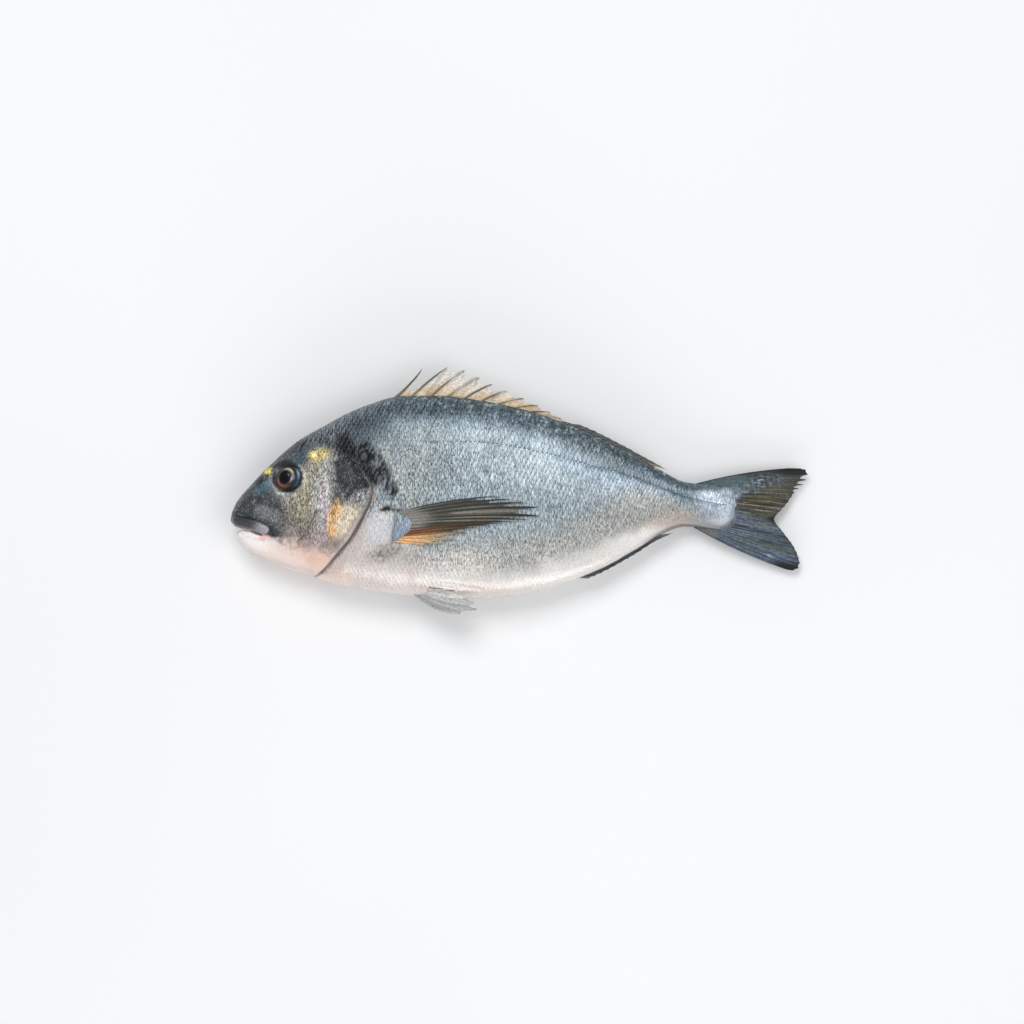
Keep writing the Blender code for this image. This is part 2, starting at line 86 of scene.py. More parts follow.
# Gill cover: its rear edge, then the relief and the tuck at distances behind that edge
GILL_EDGE = (
    (14.5, -12.7), (16.65, -11.6), (17.65, -10.4), (19.65, -8.1), (20.8, -6.7), (22.5, -3.7),
    (23.4, -2.0), (24.1, -0.4), (24.5, 1.6), (23.8, 3.3), (22.6, 4.8), (21.1, 6.6), (20.0, 8.0),
    (18.5, 13.9),
)
GILL_STATION = 21.0
GILL_BEND_ENDS = (3.0, 46.0)
GILL_PROFILE = (
    (-6.0, 0.0), (-4.5, 0.0), (-1.2, 0.24), (-0.3, 0.35), (-0.06, 0.31), (0.0, 0.12), (0.06, -0.2),
    (0.18, -0.36), (0.6, -0.32), (2.6, 0.0), (4.0, 0.0),
)
GILL_TUCK = (
    (-1.2, 0.0), (-0.3, 0.12), (-0.06, 0.3), (0.0, 0.27), (0.05, 0.05), (0.12, -0.12), (0.5, 0.0),
)

# Places on the head
EYE_CENTRE = (9.91, 3.73)
EYE_RADIUS = 2.5
EYE_FLATNESS = 0.6
EYE_BULGE = 0.42
PUPIL_OFFSET = (-0.31, 0.0)
LENS_RADIUS = 1.15
LENS_HEIGHT = 0.34
LENS_SINK = 0.27
LENS_TILT = 0.2
MOUTH_SLIT = (
    (-0.5, -4.0), (0.2, -4.25), (0.9, -4.75), (2.1, -5.1), (3.6, -5.35), (4.7, -5.8), (5.7, -6.3),
    (4.6, -6.08), (3.5, -5.62), (2.2, -5.4), (1.4, -5.6), (1.0, -5.95), (-0.5, -6.4),
)
LIP_LINE = ((0.7, -2.94), (2.5, -3.2), (4.3, -3.6), (5.6, -4.15), (6.67, -4.6), (7.3, -5.7), (7.3, -6.3))
PREOPERCLE = ((16.0, 2.2), (16.05, 0.73), (16.75, -2.64), (16.55, -5.2), (15.7, -7.2), (13.6, -9.0))
JAW_LINE = (
    (0.0, -3.8), (3.0, -4.4), (5.0, -5.0), (7.1, -5.8), (9.5, -6.7), (12.1, -7.6), (15.4, -8.4),
    (18.0, -9.8), (20.0, -11.4),
)
UPPER_LIP = ((0.45, -3.6), (2.2, -4.15), (4.0, -4.5), (5.5, -5.0), (6.75, -5.5))
UPPER_LIP_RADII = (0.55, 0.85, 0.95, 0.95, 0.7)
LOWER_LIP = ((1.55, -6.15), (3.0, -6.05), (4.6, -6.6), (6.2, -7.0))
LOWER_LIP_RADII = (0.42, 0.5, 0.5, 0.25)
CHEEK_CREASE = ((15.15, -1.85), (13.9, -4.3), (13.2, -6.0), (12.0, -7.0), (11.4, -8.2))
NOSTRILS = (((5.95, 3.7), 0.5), ((5.0, 2.85), 0.32))
NOSTRIL_SLANT = math.radians(43)
LATERAL_LINE = (
    (20.0, 9.6), (24.2, 9.55), (27.1, 10.0), (40.6, 9.88), (46.8, 9.4), (50.3, 8.7), (56.5, 7.4),
    (60.5, 6.25), (67.0, 4.6), (73.6, 2.3), (77.5, 0.8), (81.5, -0.3), (84.5, -0.86), (87.0, -1.1),
)
PORE_RADII = (0.03, 0.07, 0.085, 0.07, 0.03)

# Fins: their bases and tips, how far each gap's membrane is notched, and how the rays are bowed
FIN_ROOT = 1.0            # how deep they start in the body
DORSAL_SPINES = (         # where each starts along the back, and its tip
    (26.9, 33.0, 22.5), (30.4, 37.4, 22.83), (33.6, 40.35, 22.28), (36.4, 42.9, 21.05),
    (39.3, 45.1, 19.85), (42.1, 47.65, 18.7), (44.7, 50.6, 17.4), (47.3, 53.1, 16.2),
    (49.8, 55.2, 15.0), (52.1, 57.0, 13.95), (54.3, 59.2, 12.9),
)
DORSAL_NOTCHES = (0.6, 0.1, 0.1, 0.12, 0.16, 0.12, 0.1, 0.1, 0.1, 0.1)
FIRST_SPINE_BOW, SPINE_BOW = -0.38, 0.22
FIRST_SPINE_RADIUS, SPINE_RADIUS = 0.32, 0.22
DORSAL_SOFT_RAYS = (55.5, 70.5, 13)            # first, last and how many
DORSAL_SOFT_REACH = (5.0, 0.75)                # how far back and how far out
ANAL_RAYS = (57.4, 72.2, 14)
ANAL_REACH = (4.4, -0.75)
CAUDAL_BASE = ((79.0, 2.3), (83.8, 1.5), (85.6, -0.5), (85.6, -2.6), (83.8, -4.4), (79.0, -4.3))
CAUDAL_TIPS = (
    (96.6, 5.38), (98.1, 5.37), (99.5, 5.15), (100.0, 4.6), (99.8, 3.85), (99.4, 2.8), (98.6, 2.0),
    (97.6, 1.2), (96.5, -0.5), (95.3, -1.9), (94.0, -3.5), (95.3, -5.3), (96.3, -6.6), (97.4, -8.1),
    (98.2, -9.8), (98.55, -11.0), (98.5, -11.7), (98.0, -12.2), (97.2, -12.45), (96.4, -12.3),
)
CAUDAL_RAYS = 27
TAIL_FLESH = (
    (-5.6, 84.0), (-4.7, 86.3), (-3.5, 87.3), (-2.3, 87.2), (-0.5, 87.4), (0.95, 88.4), (2.1, 90.4),
    (3.4, 90.6), (4.2, 88.0),
)
CAUDAL_BOW = 0.5
PELVIC_BASE = ((31.0, -15.9), (33.6, -15.3))
PELVIC_TIPS = (
    (39.7, -19.8), (42.7, -19.1), (42.1, -17.9), (40.9, -16.7), (38.6, -15.9), (36.6, -15.5),
)
PELVIC_BOW = 1.1
PELVIC_SPREAD = (1.3, 3.3)
PECTORAL_BASE = ((28.9, -2.25), (30.4, -2.9), (31.4, -4.0), (31.0, -5.4), (29.6, -6.6), (28.4, -7.4))
PECTORAL_TIPS = (
    (46.7, 0.55), (51.6, -0.8), (53.5, -1.7), (53.7, -2.9), (49.5, -3.9), (43.5, -4.7),
    (40.6, -5.9), (38.6, -7.4), (35.0, -8.1),
)
PECTORAL_BOW = 0.55
PECTORAL_NOTCHES = (0.3, 0.26, 0.2, 0.16, 0.22, 0.2, 0.16, 0.14, 0.2, 0.28, 0.34, 0.34, 0.3)

# Scales of trunk, cheek and tail root: step from column to column, and pitch within a column
COLUMN_STEP = 0.385
SCALE_PITCH = 1.72
TAIL_SCALE_SIZE = 0.6
SCALE_BED = 0.11          # how far the skin sinks under them
SCALE_RAISE = 0.06        # how far their free edges stand out
CHEEK_STEP = 0.3
CHEEK_PITCH = 1.0
CHEEK_RAISE = 0.045
TAIL_ROOT_STEP = 0.62 * COLUMN_STEP
TAIL_ROOT_PITCH = 0.55 * SCALE_PITCH
TAIL_ROOT_RAISE = 0.06

# Places that the lights make too bright or too dark: centre, radii, slant and change
LIGHT_PLACES = (
    ((63.7, 8.0), (8.0, 3.6), -8, -0.3), ((58.5, 0.5), (9.0, 5.0), 0, -0.16),
    ((47.5, 4.0), (7.0, 4.5), 0, -0.05), ((38.0, 5.2), (6.0, 2.6), 0, -0.12),
    ((40.0, 15.2), (10.0, 1.1), 0, -0.2), ((37.8, 11.9), (8.5, 2.4), 0, 0.16),
    ((72.4, 3.6), (5.0, 2.4), -25, 0.12), ((80.0, 0.0), (4.0, 2.4), 0, 0.12),
    ((37.8, -9.7), (8.0, 2.4), 0, 0.1), ((42.0, -15.8), (14.0, 2.0), 0, -0.14),
    ((64.0, -11.0), (7.0, 2.0), 18, -0.1), ((79.5, -3.8), (5.0, 1.6), 0, -0.2),
    ((52.0, -8.0), (14.0, 3.0), 6, 0.1),
)

# Photograph: its width and the fish's place in it, in pixels
PHOTO_SIZE = 1024
FISH_SPAN = (231.0, 810.0)
FISH_MIDDLE_HEIGHT = 490.3
CAMERA_DISTANCE = 2.4
SENSOR_WIDTH = 36.0


# Curves, noise and colours

def curve_through(points):
    """A smooth function through (x, y) points that never overshoots them."""
    xs, ys = np.array(points, float).T
    step = np.diff(xs)
    slope = np.diff(ys) / step
    tangent = np.zeros_like(ys)
    same_way = slope[:-1] * slope[1:] > 0
    before, after = step[:-1] + 2 * step[1:], 2 * step[:-1] + step[1:]
    with np.errstate(divide="ignore", invalid="ignore"):
        mean = (before + after) / (before / slope[1:] + after / slope[:-1])
    tangent[1:-1] = np.where(same_way, mean, 0.0)
    tangent[0], tangent[-1] = slope[0], slope[-1]

    def at(x):
        x = np.clip(x, xs[0], xs[-1])
        k = np.clip(np.searchsorted(xs, x) - 1, 0, len(xs) - 2)
        t = (x - xs[k]) / step[k]
        return (
            (1 + 2 * t) * (1 - t) ** 2 * ys[k]
            + t * (1 - t) ** 2 * step[k] * tangent[k]
            + t * t * (3 - 2 * t) * ys[k + 1]
            - t * t * (1 - t) * step[k] * tangent[k + 1]
        )

    return at


def path_through(points):
    """A smooth path through points in the plane or in space, as a function of 0 to 1."""
    points = np.array(points, float)
    reach = np.r_[0, np.cumsum(np.linalg.norm(np.diff(points, axis=0), axis=1))]
    axes = [curve_through(np.c_[reach / reach[-1], column]) for column in points.T]
    return lambda share: np.stack([axis(share) for axis in axes], axis=-1)


def ramp(x, low, high):
    """0 up to low, 1 from high on, and smooth between."""
    t = np.clip((x - low) / (high - low), 0, 1)
    return t * t * (3 - 2 * t)


def fall(x, low, high):
    return 1 - ramp(x, low, high)


def window(x, rise, full, ebb, end):
    """1 from full to ebb, 0 before rise and from end on."""
    return ramp(x, rise, full) * fall(x, ebb, end)


def bell(x, width):
    return np.exp(-((x / width) ** 2))


def smooth_noise(x, y, size, seed):
    """Random values from 0 to 1 that change smoothly over about this size."""
    table = np.random.default_rng(seed).random((64, 64))
    u, v = np.asarray(x, float) / size, np.asarray(y, float) / size
    i, j = np.floor(u).astype(int), np.floor(v).astype(int)
    a, b = ramp(u - i, 0, 1), ramp(v - j, 0, 1)
    low = table[i % 64, j % 64] * (1 - a) + table[(i + 1) % 64, j % 64] * a
    high = table[i % 64, (j + 1) % 64] * (1 - a) + table[(i + 1) % 64, (j + 1) % 64] * a
    return low * (1 - b) + high * b


def line_distance(x, y, line):
    """Distance of points from a line of straight stretches."""
    nearest = np.full(np.shape(x), np.inf)
    for (ax, ay), (bx, by) in zip(line[:-1], line[1:]):
        t = ((x - ax) * (bx - ax) + (y - ay) * (by - ay)) / ((bx - ax) ** 2 + (by - ay) ** 2)
        t = np.clip(t, 0, 1)
        nearest = np.minimum(nearest, np.hypot(x - ax - t * (bx - ax), y - ay - t * (by - ay)))
    return nearest


def stroke(x, y, line, width):
    """1 on the line, falling off softly to the sides."""
    return bell(line_distance(x, y, line), width)


def blob(x, y, centre, radii, slant=0.0, softness=0.4):
    """1 inside an oval, 0 outside, with a soft rim."""
    turn = math.radians(slant)
    dx, dy = x - centre[0], y - centre[1]
    along = (dx * math.cos(turn) + dy * math.sin(turn)) / radii[0]
    across = (-dx * math.sin(turn) + dy * math.cos(turn)) / radii[1]
    return fall(np.hypot(along, across), 1 - softness, 1 + softness)


def ink(red, green, blue):
    """A colour as seen on a screen, 0 to 255, turned into light."""
    shown = np.array((red, green, blue)) / 255
    return np.where(shown <= 0.04045, shown / 12.92, ((shown + 0.055) / 1.055) ** 2.4)


def plain(like, colour):
    """One colour for every place of an array."""
    return np.broadcast_to(ink(*colour), np.shape(like) + (3,))


def mix(base, other, share):
    share = np.asarray(share)[..., None]
    return base * (1 - share) + other * share


def blend(base, colour, share):
    return mix(base, ink(*colour), share)


def layered(base, layers):
    """A tone under colours that are laid on in order, each with its share at every place."""
    for colour, share in layers:
        base = blend(base, colour, share)
    return base


back = curve_through(BACK_OUTLINE)
belly = curve_through(BELLY_OUTLINE)
half_width = curve_through(HALF_WIDTH)
back_keel = curve_through(BACK_KEEL)
lateral_line = curve_through(LATERAL_LINE)
gill_profile = curve_through(GILL_PROFILE)
gill_tuck = curve_through(GILL_TUCK)
tail_flesh = curve_through(TAIL_FLESH)
jaw_line = curve_through(JAW_LINE)


# The body's form

def section(x, share):
    """Half width of the body at a share of its height, from the belly at 0 to the back at 1."""
    keel = back_keel(x)
    fullest = BELLY_ROUNDNESS / (BELLY_ROUNDNESS + keel)
    peak = fullest**BELLY_ROUNDNESS * (1 - fullest) ** keel
    return half_width(x) * share**BELLY_ROUNDNESS * (1 - share) ** keel / peak


def share_of_height(x, y):
    return np.clip((y - belly(x)) / (back(x) - belly(x)), 0, 1)


def flank(x, y):
    return section(x, share_of_height(x, y))


def gill_line():
    points = [(share_of_height(x, y), x) for x, y in GILL_EDGE]
    points[0] = (0.0, points[0][1])
    points[-1] = (1.0, points[-1][1])
    return curve_through(points)


gill_edge = gill_line()


def station_x(station, share):
    """Where a station's line crosses this share of the height. The lines near the gill bend with it."""
    start, end = GILL_BEND_ENDS
    bend = window(station, start, GILL_STATION, GILL_STATION, end)
    return station + bend * (gill_edge(share) - GILL_STATION)


def turn_share(turn):
    """Share of the body's height that is reached at a turn round it."""
    return (1 - np.cos(turn)) / 2


def body_point(x, turn):
    """A point of the plain body. Turn is 0 at the belly and pi at the back, and negative on the right."""
    share = turn_share(turn)
    y = belly(x) + share * (back(x) - belly(x))
    z = np.sign(np.sin(turn)) * section(x, share)
    return np.stack(np.broadcast_arrays(x, y, z), axis=-1)


def body_normal(x, turn):
    along = body_point(x + 0.15, turn) - body_point(x - 0.15, turn)
    around = body_point(x, turn + 0.02) - body_point(x, turn - 0.02)
    normal = np.cross(along, around)
    return normal / np.maximum(np.linalg.norm(normal, axis=-1, keepdims=True), 1e-9)


def gill_opening(share):
    """1 along the gill's slit, 0 above and below it."""
    return window(share, 0.0, 0.06, 0.53, 0.68)


def scaled(x, y, share):
    """1 where the skin carries scales, 0 on the bare snout, jaws and brow."""
    behind = x - gill_edge(share)
    trunk = ramp(behind - 0.25 * gill_opening(share), 0.1, 0.7)
    brow = np.minimum(7.2 + 0.95 * (x - 11.0), 9.5 - 2.4 * ramp(x, 14.5, 17.5))
    nape = ramp(x, 11.0, 12.0) * ramp(y - brow, 0.2, 1.0)
    nape = nape * (1 - ramp(behind, 0.2, 0.6) * gill_opening(share))
    return np.clip(np.maximum(trunk, nape), 0, 1)


def from_eye(x, y):
    """Distance from the eye's middle."""
    return np.hypot(x - EYE_CENTRE[0], y - EYE_CENTRE[1])


def cheek(x, y, share):
    """1 on the scaled cheek and gill cover, which carry small scales."""
    behind = x - gill_edge(share)
    rim = 0.75 * ramp(y, 0.5, 2.5) + 0.45 * ramp(y, 3.0, 5.0)
    area = ramp(x + 0.25 * y, 9.6, 10.6) * fall(behind - rim, -1.3, -0.9)
    area = area * ramp(y - jaw_line(x), -0.9, 0.3) * fall(y - 0.1 * x, 5.0, 6.0)
    flange = 1 - stroke(x, y, PREOPERCLE, 0.9)
    return area * ramp(from_eye(x, y), 3.1, 3.7) * ramp(flange, 0.2, 0.6)


def eye_relief(x, y):
    gap = from_eye(x, y)
    rim = 0.07 * bell(gap - 2.95, 0.3)
    fold = -0.07 * bell(gap - 3.6, 0.25)
    return rim + fold - 0.5 * fall(gap, 2.05, 2.8)


def nostril_relief(x, y):
    total = np.zeros(np.shape(x))
    for (cx, cy), half in NOSTRILS:
        lean = (half * math.cos(NOSTRIL_SLANT), half * math.sin(NOSTRIL_SLANT))
        line = ((cx - lean[0], cy - lean[1]), (cx + lean[0], cy + lean[1]))
        gap = line_distance(x, y, line)
        total += -0.42 * bell(gap, 0.24) + 0.08 * bell(gap - 0.55, 0.18)
    return total


def head_relief(x, y):
    """Ridges, creases and bones of the head."""
    relief = eye_relief(x, y) + nostril_relief(x, y)
    relief += -0.2 * stroke(x, y + 0.05, LIP_LINE, 0.2) + 0.06 * stroke(x, y - 0.5, LIP_LINE, 0.35)
    ridge = line_distance(x, y, PREOPERCLE)
    relief += 0.13 * bell(ridge, 0.6) - 0.1 * stroke(x - 0.75, y, PREOPERCLE, 0.3)
    relief += -0.1 * stroke(x, y, CHEEK_CREASE, 0.28)
    relief += -0.12 * stroke(x, y, ((5.6, -7.2), (9.5, -8.6), (13.0, -10.6)), 0.55)
    relief += -0.07 * stroke(x, y, ((12.6, 5.5), (15.5, 7.4), (18.0, 8.2)), 0.5)
    relief += 0.07 * blob(x, y, (20.3, -1.8), (2.6, 4.6), 10, 0.6)
    return relief


def trunk_relief(x, y):
    """The shoulder of the pectoral fin, the pit behind it and the folds of the belly."""
    relief = 0.3 * blob(x, y, (29.3, -4.9), (2.1, 3.2), -12, 0.55)
    relief += -0.3 * blob(x, y, (26.9, -1.75), (0.9, 0.5), 25, 0.5)
    relief += -0.16 * stroke(x, y, ((27.6, -8.0), (29.5, -8.3), (31.0, -8.1)), 0.35)
    relief += -0.12 * stroke(x, y, ((34.0, -14.2), (38.0, -14.8), (43.0, -15.6)), 0.35)
    relief += 0.1 * bell(y - lateral_line(x), 0.2) * ramp(x, 24, 26)
    return relief


def throat_relief(x, share):
    """The folds between the jaw bones and the throat, seen from below."""
    out = section(x, share)
    below = fall(share, 0.05, 0.14) * ramp(x, 2.5, 4.5)
    below = below * fall(x - gill_edge(share), -1.0, -0.2)
    relief = -0.34 * bell(out - 0.45 - 0.04 * x, 0.2)
    relief = relief - 0.14 * bell(out - 0.9 - 0.08 * x, 0.24) * ramp(x, 5, 8)
    return below * (relief + 0.16 * bell(out, 0.5) * ramp(x, 7, 11))


def skin_relief(x, y, share):
    """How far the skin stands off the plain body."""
    relief = gill_opening(share) * gill_profile(x - gill_edge(share))
    relief = relief + head_relief(x, y) + trunk_relief(x, y) + throat_relief(x, share)
    relief = relief - SCALE_BED * scaled(x, y, share) - 0.5 * SCALE_BED * cheek(x, y, share)
    unevenness = smooth_noise(x + 40, y, 2.6, 3) - 0.5 + 0.5 * (smooth_noise(x, y + 50, 1.1, 4) - 0.5)
    return relief + 0.05 * unevenness * ramp(x, 1.0, 4.0)


def skin_point(x, turn, out=0.0):
    point = body_point(x, turn)
    relief = skin_relief(x, point[..., 1], turn_share(turn))
    fade = window(x, 0.0, 1.2, BODY_END - 1.5, BODY_END)
    return point + body_normal(x, turn) * (relief * fade + out)[..., None]


def lift(x):
    """Height of the middle plane above the table."""
    return REST_HEIGHT - TAIL_DROOP * ramp(x, 48, 104)


def press(z):
    """Flattens the underside: what is lower than the start is squeezed, so nothing is below the table."""
    share = np.clip((z + PRESS_DEPTH) / (PRESS_START + PRESS_DEPTH), 0, 1)
    return np.where(z < PRESS_START, PRESS_START * share**2, z)


def settle(points):
    """Lays points of the fish down in the frame, in metres."""
    points = np.array(points, float)
    points[..., 2] += lift(points[..., 0])
    placed = points * PERCENT + ORIGIN
    placed[..., 2] = press(placed[..., 2])
    return placed


def flank_normal(x, y, side):
    nudge = 0.2
    slope_x = (flank(x + nudge, y) - flank(x - nudge, y)) / (2 * nudge)
    slope_y = (flank(x, y + nudge) - flank(x, y - nudge)) / (2 * nudge)
    return np.array([-slope_x, -slope_y, 1.0]) / math.hypot(slope_x, slope_y, 1.0) * (1, 1, side)


def on_flank(spot, side, out):
    x, y = spot
    return np.array([x, y, side * flank(x, y)]) + flank_normal(x, y, side) * out


# Meshes

def grid_faces(rows, columns, first=0, wrap=False):
    index = first + np.arange(rows * columns).reshape(rows, columns)
    if wrap:
        index = np.concatenate([index, index[:, :1]], axis=1)
    corners = [index[:-1, :-1], index[:-1, 1:], index[1:, 1:], index[1:, :-1]]
    return np.stack(corners, axis=-1).reshape(-1, 4).tolist()


def loft_faces(rows, columns):
    """The faces of rings that follow one another, closed at both ends."""
    last = (rows - 1) * columns
    caps = [list(range(columns)), list(range(last + columns - 1, last - 1, -1))]
    return grid_faces(rows, columns, wrap=True) + caps


def border(index):
    """The numbers round the rim of a grid, in order."""
    return np.concatenate([index[0], index[1:, -1], index[-1, -2::-1], index[-2:0:-1, 0]]).tolist()


def set_colours(mesh, name, colours):
    layer = mesh.attributes.new(name, "FLOAT_COLOR", "POINT")
    rgba = np.ones((len(mesh.vertices), 4), np.float32)
    rgba[:, :3] = colours
    layer.data.foreach_set("color", rgba.ravel())


def set_numbers(mesh, name, numbers):
    layer = mesh.attributes.new(name, "FLOAT", "POINT")
    layer.data.foreach_set("value", np.asarray(numbers, np.float32).ravel())


def add_object(name, data):
    thing = bpy.data.objects.new(name, data)
    bpy.context.scene.collection.objects.link(thing)
    return thing


def closed_mesh(name, points, faces, triangulate=False):
    """A closed mesh in metres, with its faces turned outwards."""
    mesh = bpy.data.meshes.new(name)
    mesh.from_pydata(np.reshape(points, (-1, 3)).tolist(), [], faces)
    shape = bmesh.new()
    shape.from_mesh(mesh)
    if triangulate:
        bmesh.ops.triangulate(shape, faces=shape.faces)
    bmesh.ops.recalc_face_normals(shape, faces=shape.faces)
    shape.to_mesh(mesh)
    shape.free()
    return mesh


def make_piece(name, points, faces, material, sharp, tone=None, **numbers):
    """A piece of the fish that rides on its body. Tone and numbers are values at its points."""
    mesh = closed_mesh(name, settle(points), faces)
    if tone is not None:
        set_colours(mesh, "tone", tone)
    for layer, values in numbers.items():
        set_numbers(mesh, layer, values)
    piece = add_object(name, mesh)
    mesh.materials.append(material)
    mesh.shade_smooth()
    mesh.set_sharp_from_angle(angle=math.radians(sharp))
    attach(piece, "root")
    return piece


def joined(shapes):
    """Several (points, faces, values...) as one, with the faces' numbers moved on."""
    points, faces, extras, first = [], [], [], 0
    for shape in shapes:
        points.append(np.reshape(shape[0], (-1, 3)))
        faces += [[corner + first for corner in face] for face in shape[1]]
        extras.append(shape[2:])
        first += len(points[-1])
    values = [np.concatenate(column) for column in zip(*extras)]
    return (np.concatenate(points), faces, *values)


def tube(path, radii, sides, up=(0.0, 1.0, 0.0), flatness=1.0):
    """A tapering roll along a path of points, closed at both ends. Returns points and faces."""
    path = np.asarray(path, float)
    ahead = np.gradient(path, axis=0)
    ahead /= np.linalg.norm(ahead, axis=1, keepdims=True)
    sideways = np.cross(ahead, np.array(up))
    sideways /= np.maximum(np.linalg.norm(sideways, axis=1, keepdims=True), 1e-9)
    upright = np.cross(sideways, ahead)
    turns = np.linspace(0, 2 * math.pi, sides, endpoint=False)[None, :, None]
    radius = np.broadcast_to(radii, len(path))[:, None, None]
    ring = np.cos(turns) * sideways[:, None] * flatness + np.sin(turns) * upright[:, None]
    return path[:, None] + radius * ring, loft_faces(len(path), sides)


# Colours of the skin

def skin_tone(x, y, share):
    """Colour of the skin at a place on the flank."""
    below_back = back(x) - y
    above_belly = y - belly(x)
    wander = 1.6 * (smooth_noise(x, y, 5.0, 11) - 0.5) + 0.9 * (smooth_noise(x, y, 1.7, 12) - 0.5)
    near_ridge = fall(below_back * (1 + 2.5 * ramp(x, 62, 76)), 2.5, 5.5)
    grain = smooth_noise(x + 0.4 * y, 1.3 * y, 0.36, 16)
    reach = 5.0 - 1.6 * ramp(x, 55, 75)
    pale = fall(above_belly + 0.9 * wander, 2.2, reach + 1.0)
    bruise = blob(x, y, (31.0, -13.2), (2.6, 1.5), 0, 0.7) * ramp(smooth_noise(x, y, 0.7, 15), 0.35, 0.75)
    dark_root = ramp(y - 0.12 * (x - 82), 0.9, 2.0) * ramp(x, 76, 82)
    # rim: painted shade along the lower edge of the tail root, to hold down the low lamp's highlight there
    rim = fall(above_belly, 0.1, 1.2) * ramp(x, 68, 76)
    tone = layered(plain(x, (168, 182, 189)), (
        ((154, 175, 193), ramp(x, 52, 64) * ramp(y - lateral_line(x), -5, 0)),
        ((180, 180, 176), fall(above_belly + wander, 6.5, 14.0)),
        ((218, 214, 209), fall(above_belly + wander, 4.5, 10.0) * fall(x, 40, 50)),
        ((172, 176, 172), 0.5 * blob(x, y, (31.5, 5.5), (6.0, 6.5), 0, 0.7)),
        ((128, 146, 157), fall(below_back + wander, 2.8, 6.2)),
        ((80, 98, 108), fall(below_back + wander, 1.6, 4.8)),
        ((68, 84, 91), fall(below_back + 0.5 * wander, 0.4, 1.8)),
        # The pale flecks near the ridge are painted glints; the dark flecks on the next line are pigment
        ((176, 192, 198), 0.65 * near_ridge * ramp(grain, 0.66, 0.86)),
        ((30, 42, 48), 0.6 * near_ridge * fall(grain, 0.15, 0.38)),
        ((240, 235, 230), pale * fall(x, 72, 82)),
        ((238, 218, 208), 0.45 * blob(x, y, (41, -17), (12, 2.6), 3, 0.6)),
        ((206, 180, 178), 0.6 * bruise),
        ((222, 170, 142), 0.4 * stroke(x, y, ((31.5, -15.0), (36.0, -15.4)), 0.4)),
        ((196, 178, 164), 0.6 * blob(x, y, (76, -3.7), (4.8, 1.5), 6, 0.6)),
        ((198, 209, 222), 0.75 * blob(x, y, (84.6, -1.4), (3.8, 3.4), 0, 0.7)),
        ((84, 100, 106), 0.85 * dark_root),
        # Painted shade along the tail root's lower edge
        ((104, 100, 98), 0.85 * rim),
    ))
    tone = tone * evened(x, y)[..., None]
    tone = blend(tone, (98, 106, 112), 0.6 * ramp(x - tail_flesh(y), -1.8, 0.2) * ramp(x, 83, 85))
    tone = head_tone(chest_tone(tone, x, y, share), x, y, share)
    folds = np.clip(-1.4 * throat_relief(x, share), 0, 0.4)
    return blend(tone, (204, 150, 138), folds)


def evened(x, y):
    """Makes up for where the lights fall: less than 1 where they shine most, more where they miss."""
    factor = np.ones(np.shape(x))
    for centre, radii, slant, change in LIGHT_PLACES:
        factor = factor + change * blob(x, y, centre, radii, slant, 0.8)
    return factor


def chest_tone(tone, x, y, share):
    """The pale chest, the shoulder of the pectoral fin and the smudge below it."""
    behind = x - gill_edge(share)
    wander = smooth_noise(x, y, 2.0, 13) - 0.5
    chest = ramp(behind, 0.0, 0.5) * blob(x + wander, y + wander, (24.5, -10.5), (7.0, 7.6), -35, 0.5)
    warm = blob(x, y, (17.5, -13.0), (3.4, 2.2), -30, 0.6)
    dull = blob(x, y, (29.6, -9.8), (3.4, 1.5), -8, 0.7) * (0.4 + 0.6 * smooth_noise(x, y, 0.5, 14))
    smudge = blob(x + wander, y, (26.9, -9.2), (2.5, 1.2), 18, 0.8)
    stipple = smooth_noise(1.2 * x, y, 0.36, 17)
    return layered(tone, (
        ((226, 217, 211), chest),
        ((240, 214, 200), 0.7 * warm * ramp(behind, 0.0, 0.4)),
        ((234, 232, 234), 0.95 * blob(x, y, (26.1, -4.6), (2.4, 3.4), -30, 0.5)),
        ((166, 178, 192), blob(x, y, (29.75, -4.8), (1.6, 3.2), -14, 0.3)),
        ((104, 116, 130), 0.7 * stroke(x, y, ((28.7, -2.6), (28.3, -5.0), (28.0, -7.4)), 0.3)),
        ((150, 158, 160), 0.8 * stroke(x, y, ((27.6, -1.7), (30.0, -2.0), (32.0, -2.3)), 0.5)),
        ((150, 150, 150), 0.35 * dull),
        ((120, 112, 105), 0.75 * smudge * (0.25 + 0.75 * ramp(stipple, 0.25, 0.7))),
        ((64, 60, 57), 0.6 * smudge * ramp(stipple, 0.64, 0.82)),
        ((60, 64, 68), 0.7 * stroke(x, y, ((26.6, -1.7), (28.6, -1.9), (30.2, -2.3)), 0.25)),
        ((18, 16, 18), blob(x, y, (26.8, -1.7), (1.05, 0.45), 25, 0.5)),
    ))


